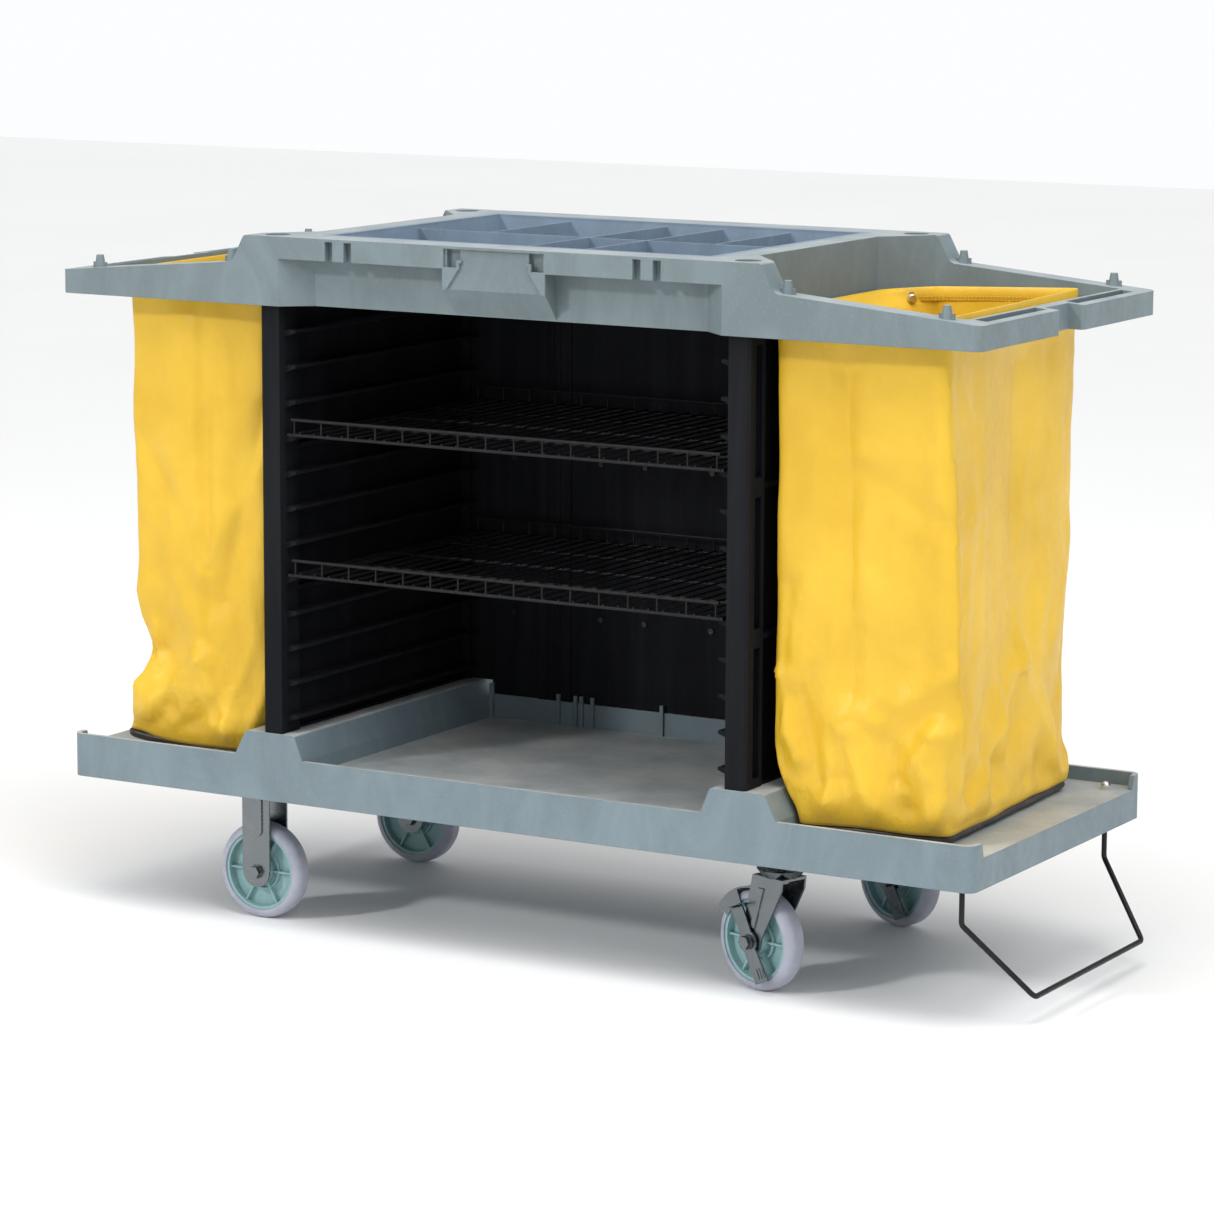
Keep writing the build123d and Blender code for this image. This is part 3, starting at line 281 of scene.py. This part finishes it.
DECK_COLOUR = (0.160, 0.206, 0.220)
BASE_COLOUR = (0.164, 0.217, 0.245)
# The second colour of each moulded look lightens what faces up: partly settled dirt, partly painted top
# light.
LOOKS = {
    "top_deck": moulded("deck_plastic", DECK_COLOUR, (0.36, 0.395, 0.405)),
    "base_deck": moulded("base_plastic", BASE_COLOUR, (0.52, 0.52, 0.50)),
    "organiser_tray": moulded("tray_plastic", (0.17, 0.23, 0.3), (0.22, 0.27, 0.33), edge=0.001),
    "side_panel": black_panel("panel_plastic"),
    "wire_shelf": coated_wire("shelf_coating", (0.004, 0.004, 0.0045), 0.5),
    "vacuum_rest": coated_wire("rest_coating", (0.006, 0.006, 0.007), 0.36),
    "bush": nylon(),
    "core": moulded("wheel_core_plastic", (0.24, 0.40, 0.41), (0.28, 0.42, 0.42), edge=0.0008, grain=1400.0,
                    roughness=(0.36, 0.52)),
    "tyre": tyre_rubber(),
    "zinc": plated("zinc_plate", (0.17, 0.187, 0.196), 0.25, 20.0, 1500.0),
    "bright": plated("nickel_plate", (0.72, 0.71, 0.69), 0.17, 60.0, 2200.0),
    "screw": plated("black_oxide", (0.06, 0.06, 0.062), 0.4, 200.0, 2200.0),
    "cloth": bag_cloth(),
    "vinyl": bag_vinyl(),
    "thread": thread(),
}


def look_for(node):
    """The material of a CAD node, by its name."""
    if node in LOOKS:
        return LOOKS[node]
    for start, look in (("side_panel", "side_panel"), ("back_panel_screws", "screw"), ("back_", "side_panel"),
                        ("wire_shelf", "wire_shelf"), ("tyre", "tyre"), ("wheel_core", "core"),
                        ("wheel_bush", "bush"), ("vacuum_rest_nuts", "bright"), ("bag_hooks", "bright"),
                        ("bag_grommets", "bright"), ("bag_base", "vinyl"), ("bag_", "cloth")):
        if node.startswith(start):
            return LOOKS[look]
    return LOOKS["zinc"]


def dress_frame():
    for name, obj in NODES.items():
        obj.data.materials.clear()
        obj.data.materials.append(look_for(name))


# ---------------------------------------------------------------- bags
CENTRE_X = sum(corner.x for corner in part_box("base_deck")) / 2
SIDES = {"right": 1.0, "left": -1.0}
FLOOR_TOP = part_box("bag_base_right")[0].z
ENDS_Y = {side: tuple(corner.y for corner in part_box(f"bag_{side}")) for side in SIDES}
# near wall, its half width, shoulder and the shoulder's half width, by height; x from the cart's middle
NEAR_PLANS = ((FLOOR_TOP, 0.472, 0.205, 0.474, 0.240), (0.275, 0.468, 0.205, 0.470, 0.246),
              (0.302, 0.456, 0.205, 0.457, 0.250), (0.318, 0.447, 0.205, 0.447, 0.251),
              (0.345, 0.438, 0.205, 0.439, 0.251), (0.400, 0.432, 0.205, 0.432, 0.251),
              (0.950, 0.422, 0.205, 0.431, 0.251), (0.985, 0.387, 0.184, 0.440, 0.251))
FAR_EDGES = {                    # x of the far edge at the front and at the back, by height
    "right": (((FLOOR_TOP, 0.706), (0.33, 0.716), (0.45, 0.735), (0.55, 0.735), (0.72, 0.726), (0.88, 0.712),
               (1.01, 0.703)),
              ((FLOOR_TOP, 0.690), (0.45, 0.672), (0.70, 0.673), (1.01, 0.681))),
    "left": (((FLOOR_TOP, 0.710), (0.33, 0.691), (0.405, 0.667), (0.46, 0.680), (0.58, 0.682), (0.80, 0.686),
              (1.01, 0.687)),
             ((FLOOR_TOP, 0.702), (0.45, 0.694), (1.01, 0.694))),
}
FOOT_TUCK = {"right": 0.027, "left": 0.010}    # how far the front and back walls are drawn in at the foot
TUCK_HEIGHT = 0.05               # the tuck fades out over this height
BACK_SHOULDER = 0.008            # how much nearer the middle the back shoulder is than the front one
FOOT_CURL = {"right": 0.003, "left": 0.013}    # how far the far end of the foot is lifted off the deck
CURL_START, CURL_RUN = 0.52, 0.18              # where the lift starts, from the cart's middle, and its run
HEM_RISE = 0.013                 # how much higher the bag hangs at its far end
HEM_RISE_START, HEM_RISE_RUN = 0.39, 0.32      # where the rise starts, from the cart's middle, and its run
# creases in a bag's wall: wall number, place along it and height at both ends, depth and reach
CREASES = {
    "right": ((1, 0.41, 0.34, 0.40, 1.0, -0.007, 0.030), (1, 0.39, 0.40, 0.24, 0.27, 0.008, 0.035),
              (1, 0.39, 0.42, 0.62, 0.27, 0.009, 0.04), (1, 0.05, 0.47, 0.12, 0.36, 0.008, 0.03),
              (1, 0.12, 0.44, 0.26, 0.33, -0.007, 0.03), (1, 0.88, 0.41, 0.74, 0.33, 0.010, 0.035),
              (1, 0.88, 0.41, 0.92, 0.27, 0.010, 0.035), (1, 0.74, 0.33, 0.80, 0.27, -0.008, 0.03),
              (1, 0.95, 0.50, 0.58, 0.43, 0.006, 0.035), (1, 0.60, 0.43, 0.70, 0.35, -0.007, 0.03),
              (1, 0.50, 0.77, 0.92, 0.71, -0.003, 0.03), (1, 0.42, 0.80, 0.85, 0.80, 0.003, 0.03),
              (1, 0.10, 0.60, 0.03, 0.36, -0.005, 0.03), (1, 0.92, 0.95, 0.97, 0.50, 0.005, 0.05),
              (2, 0.58, 0.46, 0.57, 1.0, -0.014, 0.15), (2, 0.58, 0.46, 0.14, 0.27, 0.010, 0.06),
              (2, 0.58, 0.46, 0.90, 0.27, 0.009, 0.06), (2, 0.05, 0.55, 0.16, 0.33, -0.008, 0.04),
              (2, 0.30, 0.36, 0.60, 0.29, -0.006, 0.04), (3, 0.5, 0.3, 0.5, 1.0, -0.006, 0.07),
              (3, 0.5, 0.42, 0.15, 0.27, 0.008, 0.05)),
    "left": ((1, 0.50, 0.36, 0.50, 1.0, 0.010, 0.110), (1, 0.42, 0.55, 0.45, 1.0, -0.005, 0.022),
             (1, 0.03, 0.80, 0.34, 0.50, -0.008, 0.045), (1, 0.46, 0.54, 0.03, 0.72, 0.005, 0.035),
             (1, 0.50, 0.40, 0.20, 0.30, 0.010, 0.035), (1, 0.50, 0.40, 0.82, 0.32, 0.009, 0.035),
             (1, 0.20, 0.30, 0.08, 0.26, 0.008, 0.03), (1, 0.36, 0.33, 0.60, 0.28, -0.009, 0.04),
             (1, 0.99, 0.405, 0.84, 0.41, -0.006, 0.018), (1, 0.86, 0.44, 0.92, 0.415, 0.005, 0.02),
             (1, 0.70, 0.32, 0.82, 0.27, -0.008, 0.03), (1, 0.92, 0.74, 0.60, 0.62, -0.004, 0.03),
             (2, 0.50, 0.34, 0.50, 1.0, -0.014, 0.15), (2, 0.50, 0.44, 0.14, 0.27, 0.009, 0.05),
             (2, 0.50, 0.44, 0.86, 0.27, 0.009, 0.05), (2, 0.06, 0.405, 0.30, 0.42, -0.005, 0.025),
             (3, 0.45, 0.3, 0.45, 1.0, -0.006, 0.07), (3, 0.45, 0.44, 0.1, 0.27, 0.007, 0.04)),
}


def between(knots, z):
    """Smooth value at height z from (height, value) knots."""
    if z <= knots[0][0]:
        return knots[0][1]
    for (z0, a), (z1, b) in zip(knots, knots[1:]):
        if z <= z1:
            t = (z - z0) / (z1 - z0)
            return a + (b - a) * t * t * (3 - 2 * t)
    return knots[-1][1]


def mesh_piece(name, points, faces, look):
    mesh = bpy.data.meshes.new(name)
    mesh.from_pydata([tuple(p) for p in points], [], faces)
    mesh.update()
    obj = bpy.data.objects.new(name, mesh)
    bpy.context.scene.collection.objects.link(obj)
    mesh.materials.append(LOOKS[look])
    for face in mesh.polygons:
        face.use_smooth = True
    return obj


def tube_faces(columns, rows):
    """Quads of a tube whose points come row by row."""
    faces = []
    for r in range(rows - 1):
        for c in range(columns):
            n = (c + 1) % columns
            faces.append((r * columns + c, r * columns + n, (r + 1) * columns + n, (r + 1) * columns + c))
    return faces


def plan_corners(side, z):
    """The six corners of a bag's plan at a height, from the near wall's front end round by the far wall."""
    front, back = ENDS_Y[side]
    near, side_y, shoulder, shoulder_y = (between([(knot[0], knot[k]) for knot in NEAR_PLANS], z)
                                          for k in (1, 2, 3, 4))
    far_front, far_back = (between(knots, z) for knots in FAR_EDGES[side])
    tuck = FOOT_TUCK[side] * (1 - min(1.0, max(0.0, (z - FLOOR_TOP) / TUCK_HEIGHT)))
    plan = [(near, -side_y), (shoulder, -shoulder_y), (far_front, front + tuck), (far_back, back - tuck),
            (shoulder, shoulder_y - BACK_SHOULDER), (near, side_y)]
    return [Vector((CENTRE_X + SIDES[side] * x, y, z)) for x, y in plan]


def curl(side, point):
    """How far the foot of a bag is lifted at a point."""
    reach = abs(point.x - CENTRE_X)
    return FOOT_CURL[side] * min(1.0, max(0.0, (reach - CURL_START) / CURL_RUN)) ** 2


def columns_of(side):
    """How many cloth cells each of the six walls takes."""
    plan = plan_corners(side, 0.6)
    return [max(2, round((plan[(k + 1) % 6] - plan[k]).length / CLOTH_GRID)) for k in range(6)]


def wall_points(side, z):
    """One row of a bag: its points, outward directions, wall numbers and places along the wall."""
    plan, row = plan_corners(side, z), []
    for k, count in enumerate(columns_of(side)):
        start, end = plan[k], plan[(k + 1) % 6]
        along = (end - start).normalized()
        out = Vector((along.y, -along.x, 0)) * SIDES[side]
        for n in range(count):
            row.append([start.lerp(end, n / count), out, k, n / count])
    return row


def rounded(row, passes):
    """Round a row's corners by averaging neighbours."""
    for _ in range(passes):
        points = [item[0] for item in row]
        outs = [item[1] for item in row]
        for n, item in enumerate(row):
            after = (n + 1) % len(row)
            item[0] = points[n - 1] * 0.25 + points[n] * 0.5 + points[after] * 0.25
            item[1] = (outs[n - 1] + outs[n] * 2 + outs[after]).normalized()
    return row


def crease_depth(side, wall, place, z, width):
    """How far the creases push a point of a wall out or in."""
    total = 0.0
    here = Vector((place * width, z))
    for number, a, za, b, zb, depth, reach in CREASES[side]:
        if number != wall:
            continue
        start, end = Vector((a * width, za)), Vector((b * width, zb))
        span = end - start
        t = min(1.0, max(0.0, (here - start).dot(span) / span.length_squared))
        gap = (here - start - span * t).length
        fade = 1.0 if t in (0.0, 1.0) else 0.75 + 0.25 * math.sin(math.pi * t)
        total += depth * fade * max(0.0, 1 - gap / reach) ** 1.25
    return total


def crumple(point, low_down):
    """Sharp-edged facets of crumpled cloth, larger and deeper near the foot."""
    bent = point + Vector((noise.noise(point * 6), noise.noise(point * 6 + Vector((5, 0, 0))), 0)) * 0.05
    facets = 0.5 - abs(noise.noise(Vector((bent.x * 13, bent.y * 13, bent.z * 6))))
    fine = 0.5 - abs(noise.noise(Vector((bent.x * 29 + 3.7, bent.y * 29 + 1.1, bent.z * 16))))
    return (facets - 0.3) * (0.005 + 0.022 * low_down) + (fine - 0.3) * (0.0008 + 0.005 * low_down)


def wall_at(side, point):
    """The wall a point of the cloth belongs to, its place along it and the wall's width."""
    plan, best = plan_corners(side, point.z), None
    for k, start in enumerate(plan):
        end = plan[(k + 1) % 6]
        run = end - start
        place = Vector((point.x - start.x, point.y - start.y, 0)).dot(run) / run.length_squared
        place = min(1.0, max(0.0, place))
        foot = start + run * place
        gap = math.hypot(point.x - foot.x, point.y - foot.y)
        if best is None or gap < best[0]:
            best = (gap, k, place, run.length)
    return best[1:]


def fold(cloth, side, low, high):
    """Press the creases and crumples into a settled cloth, leaving its hem and foot as they are."""
    middle = sum((v.co for v in cloth.data.vertices), Vector()) / len(cloth.data.vertices)
    moves = []
    for vertex in cloth.data.vertices:
        point, out = vertex.co.copy(), vertex.normal.copy()
        if out.dot(Vector((point.x - middle.x, point.y - middle.y, 0))) < 0:
            out = -out
        wall, place, width = wall_at(side, point)
        free = min(1.0, max(0.0, (high - HEM_HEIGHT - SEAM_MARGIN - point.z) / HEM_FADE))
        free *= min(1.0, max(0.0, (point.z - low - SEAM_MARGIN) / FOOT_FADE))
        low_down = max(0.0, (high - point.z) / (high - low)) ** 2.2
        push = CREASE_GAIN * crease_depth(side, wall, place, point.z, width) + crumple(point, low_down)
        moves.append(point + out * push * free * (CABINET_QUIET if wall in CABINET_WALLS else 1.0))
    for vertex, place in zip(cloth.data.vertices, moves):
        vertex.co = place


def subdivide(obj):
    """Make one level of subdivision part of the mesh."""
    obj.modifiers.new("Finer", "SUBSURF").levels = 1
    finer = bpy.data.meshes.new_from_object(obj.evaluated_get(bpy.context.evaluated_depsgraph_get()))
    obj.modifiers.clear()
    obj.data = finer


def bag_rows(side):
    """Rows of the bag's wall from its foot to its hem, before it hangs."""
    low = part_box(f"bag_base_{side}")[1].z - 0.002
    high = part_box(f"bag_{side}")[1].z
    count = round((high - low) / CLOTH_GRID)
    rows = []
    for r in range(count + 1):
        t = r / count
        row = rounded(wall_points(side, low + (high - low) * t), 2)
        hang = min(1.0, (1 - t) * 12) * min(1.0, t * 9)
        for item in row:
            point, out, wall = item[:3]
            place = Vector((point.x * 9, point.y * 9, point.z * 4))
            ripple = noise.fractal(place, 1.0, 2.0, 3) * 0.005 * hang
            quiet = CABINET_QUIET if wall in CABINET_WALLS else 1.0
            reach = abs(point.x - CENTRE_X)
            lift = HEM_RISE * max(0.0, (reach - HEM_RISE_START) / HEM_RISE_RUN) * t ** 3
            lift += curl(side, point) * (1 - t) ** 6
            drop = noise.noise(Vector((point.x * 14, point.y * 14, 7.3))) * 0.0030 * (1 - t) ** 10
            item[0] = point + out * ripple * quiet + Vector((0, 0, lift + drop))
        rows.append(row)
    return rows


def hang_cloth(obj, cut, held, outs, loose):
    """Let the cloth settle under its weight, from its present shape, at the size it was cut to."""
    start = [v.co.copy() for v in obj.data.vertices]
    obj.shape_key_add(name="Basis")
    shape = obj.shape_key_add(name="Cut")
    for point, place in zip(shape.data, cut):
        point.co = place
    group = obj.vertex_groups.new(name="held")
    group.add(held, 1.0, "REPLACE")
    settings = obj.modifiers.new("Cloth", "CLOTH").settings
    settings.quality = 7
    settings.mass = 0.12
    settings.tension_stiffness = 30
    settings.compression_stiffness = 30
    settings.shear_stiffness = 12
    settings.bending_stiffness = 0.5
    settings.tension_damping = 12
    settings.compression_damping = 12
    settings.shear_damping = 12
    settings.air_damping = 2.5
    settings.vertex_group_mass = "held"
    settings.rest_shape_key = shape
    scene = bpy.context.scene
    for number in range(1, CLOTH_FRAMES + 1):
        scene.frame_set(number)
    settled = obj.evaluated_get(bpy.context.evaluated_depsgraph_get())
    places = [v.co.copy() for v in settled.data.vertices]
    obj.modifiers.clear()
    obj.shape_key_clear()
    scene.frame_set(1)
    for vertex, place, was, out, free in zip(obj.data.vertices, places, start, outs, loose):
        shift = place - was
        outward = shift.dot(out)
        kept = max(-INWARD_CAP, min(OUTWARD_CAP * free, outward))
        side_shift = shift - out * outward
        if side_shift.length > SIDE_CAP:
            side_shift *= SIDE_CAP / side_shift.length
        vertex.co = was + side_shift + out * kept


def make_cloth(side):
    rows = bag_rows(side)
    columns = len(rows[0])
    points = [item[0] for row in rows for item in row]
    outs = [item[1] for row in rows for item in row]
    loose = [CABINET_LOOSE if item[2] in CABINET_WALLS else 1.0 for row in rows for item in row]
    cloth = mesh_piece(f"bag_cloth_{side}", points, tube_faces(columns, len(rows)), "cloth")
    low, high = points[0].z, rows[-1][0][0].z
    cut = []
    for point, out in zip(points, outs):
        near_foot = max(0.0, 1 - (point.z - low) / CUT_HEIGHT)
        taller = low + (point.z - low) * SLACK_TALL
        cut.append(Vector((point.x, point.y, taller)) + out * (SLACK_WIDE - 1) * CUT_RADIUS * near_foot)
    hem_rows = max(2, round(HEM_HEIGHT / CLOTH_GRID))
    held = list(range(columns)) + list(range(columns * (len(rows) - hem_rows), len(points)))
    hang_cloth(cloth, cut, held, outs, loose)
    subdivide(cloth)
    fold(cloth, side, low, high)
    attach(cloth, "root")
    thick = cloth.modifiers.new("Thickness", "SOLIDIFY")
    thick.thickness = CLOTH_THICKNESS
    thick.offset = 0
    return cloth, rows


def make_hem(side, rows):
    """Folded hem round the bag's mouth, a little proud of the cloth on both faces."""
    columns = len(rows[0])
    points = []
    for depth, stand in ((HEM_HEIGHT, 0.0), (HEM_HEIGHT - 0.0006, HEM_STAND),
                         (HEM_HEIGHT / 2, HEM_STAND * 1.15), (0.0004, HEM_STAND), (-0.0008, 0.0),
                         (0.0004, -HEM_STAND), (HEM_HEIGHT / 2, -HEM_STAND * 1.15),
                         (HEM_HEIGHT - 0.0006, -HEM_STAND)):
        for top in rows[-1]:
            pucker = 1 + 0.25 * noise.noise(top[0] * 120)
            points.append(top[0] + Vector((0, 0, -depth)) + top[1] * stand * pucker)
    faces = tube_faces(columns, 8)
    last = 7 * columns
    faces += [(last + c, last + (c + 1) % columns, (c + 1) % columns, c) for c in range(columns)]
    hem = mesh_piece(f"bag_hem_{side}", points, faces, "cloth")
    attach(hem, "root")
    return hem


def stitch(middle, along, out):
    """Points and faces of one short stitch, a bead drawn out along the seam."""
    up = along.cross(out)
    points = []
    for t, r in ((-0.5, 0.25), (-0.28, 1.0), (0.28, 1.0), (0.5, 0.25)):
        for k in range(6):
            a = math.tau * k / 6
            spoke = out * math.cos(a) + up * math.sin(a)
            points.append(middle + along * t * STITCH_LENGTH + spoke * r * STITCH_RADIUS)
    faces = tube_faces(6, 4) + [tuple(range(5, -1, -1)), tuple(range(18, 24))]
    return points, faces


def make_stitches(side, rows):
    """Two rows of stitches through the hem, seen on both faces."""
    points, faces = [], []
    line = [(item[0], item[1]) for item in rows[-1]]
    for depth in (HEM_HEIGHT - 0.003, HEM_HEIGHT - 0.008):
        travelled, next_stitch = 0.0, 0.0
        for n, (start, out) in enumerate(line):
            end = line[(n + 1) % len(line)][0]
            along = (end - start).normalized()
            length = (end - start).length
            while next_stitch < travelled + length:
                place = start + along * (next_stitch - travelled) - Vector((0, 0, depth))
                for face_side in (1, -1):
                    more, rings = stitch(place + out * face_side * (HEM_STAND + 0.0001), along, out)
                    faces += [tuple(i + len(points) for i in ring) for ring in rings]
                    points += more
                next_stitch += STITCH_PITCH
            travelled += length
    stitches = mesh_piece(f"bag_stitches_{side}", points, faces, "thread")
    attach(stitches, "root")
    return stitches


def make_foot(side):
    """Vinyl foot of the bag: a soft slab whose rim is kinked where the cloth is gathered into it."""
    low, high = (corner.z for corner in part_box(f"bag_base_{side}"))
    thick = high - low
    ring = rounded(wall_points(side, low), 3)
    columns = len(ring)
    points = []
    for inset, rise in ((0.012, 0.0), (0.004, 0.0003), (0.0008, 0.18), (-0.0006, 0.5), (0.0006, 0.82),
                        (0.004, 0.97), (0.012, 1.0)):
        for item in ring:
            kink = noise.fractal(Vector((item[0].x * 20, item[0].y * 20, rise * 1.5)), 1.0, 2.0, 3)
            place = item[0] - item[1] * (inset + 0.0016 * kink * (0.2 < rise + 0.1 < 1.1))
            points.append(Vector((place.x, place.y, low + thick * rise + curl(side, place))))
    faces = tube_faces(columns, 7)
    for row in (0, 6):
        middle = sum((points[row * columns + c] for c in range(columns)), Vector()) / columns
        points.append(middle)
        turn = 1 if row else -1
        faces += [(row * columns + c, row * columns + (c + 1) % columns, len(points) - 1)[::turn]
                  for c in range(columns)]
    foot = mesh_piece(f"bag_foot_{side}", points, faces, "vinyl")
    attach(foot, "root")
    return foot


def make_bag(side):
    cloth, rows = make_cloth(side)
    hem, stitches, foot = make_hem(side, rows), make_stitches(side, rows), make_foot(side)
    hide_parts(f"bag_{side}")
    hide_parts(f"bag_base_{side}")


# ---------------------------------------------------------------- stage
def make_floor():
    size = 30.0
    bpy.ops.mesh.primitive_plane_add(size=size, location=(0, 0, 0))
    floor = bpy.context.object
    floor.name = "floor"
    s = Surface("pale_floor", (0.93, 0.93, 0.93), 0.6)
    tone = s.mixed(s.ramp(s.noise(0.7), 0.3, 0.7), (0.92, 0.92, 0.92), (0.94, 0.94, 0.94))
    floor.data.materials.append(s.finish(tone))


def area_light(name, place, target, width, height, power):
    data = bpy.data.lights.new(name, "AREA")
    data.shape = "RECTANGLE"
    data.size, data.size_y = width, height
    data.energy = power
    lamp = bpy.data.objects.new(name, data)
    bpy.context.scene.collection.objects.link(lamp)
    lamp.location = place
    lamp.rotation_euler = (Vector(target) - Vector(place)).to_track_quat("-Z", "Y").to_euler()


def sun_light(name, source, strength, spread):
    data = bpy.data.lights.new(name, "SUN")
    data.energy = strength
    data.angle = math.radians(spread)
    lamp = bpy.data.objects.new(name, data)
    bpy.context.scene.collection.objects.link(lamp)
    lamp.rotation_euler = Vector(source).to_track_quat("Z", "Y").to_euler()


def make_lights():
    bpy.context.scene.view_settings.view_transform = "Standard"
    world = bpy.data.worlds.new("studio")
    bpy.context.scene.world = world
    world.use_nodes = True
    tree = world.node_tree
    sky = tree.nodes.new("ShaderNodeTexCoord")
    height = tree.nodes.new("ShaderNodeSeparateXYZ")
    blend = tree.nodes.new("ShaderNodeValToRGB")
    tree.links.new(sky.outputs["Generated"], height.inputs["Vector"])
    tree.links.new(height.outputs["Z"], blend.inputs["Fac"])
    tree.links.new(blend.outputs["Color"], tree.nodes["Background"].inputs["Color"])
    tones = blend.color_ramp.elements
    tones[0].position, tones[0].color = 0.0, (0.97, 0.985, 1.0, 1.0)
    tones[1].position, tones[1].color = 1.0, (1.0, 1.0, 1.0, 1.0)
    for place, tone in ((0.1, 0.8), (0.25, 0.36), (0.6, 0.5)):
        tones.new(place).color = (tone * 0.98, tone * 0.99, tone, 1.0)
    tree.nodes["Background"].inputs["Strength"].default_value = 1.0
    sun_light("key", (-1.5, -3.0, 1.9), 1.1, 6)
    sun_light("fill", (3.4, -1.5, 3.0), 1.0, 35)
    area_light("softbox", (0.7, -1.0, 4.4), (0.1, 0, 0.6), 3.4, 2.2, 105)


def make_camera():
    level = Vector((math.sin(VIEW_AZIMUTH), -math.cos(VIEW_AZIMUTH), 0))
    back = level * math.cos(VIEW_ELEVATION) + Vector((0, 0, math.sin(VIEW_ELEVATION)))
    right = Vector((math.cos(VIEW_AZIMUTH), math.sin(VIEW_AZIMUTH), 0))
    up = back.cross(right)
    roll = Matrix(((math.cos(VIEW_ROLL), math.sin(VIEW_ROLL)), (-math.sin(VIEW_ROLL), math.cos(VIEW_ROLL))))
    across = right * roll[0][0] + up * roll[0][1]
    above = right * roll[1][0] + up * roll[1][1]
    data = bpy.data.cameras.new("camera")
    data.lens, data.sensor_width = LENS, SENSOR
    camera = bpy.data.objects.new("camera", data)
    bpy.context.scene.collection.objects.link(camera)
    turn = Matrix((across, above, back)).transposed().to_4x4()
    camera.matrix_world = Matrix.Translation(VIEW_TARGET + back * VIEW_DISTANCE) @ turn
    bpy.context.scene.camera = camera


make_camera()
make_lights()
make_floor()
dress_frame()
for bag_side in SIDES:
    make_bag(bag_side)
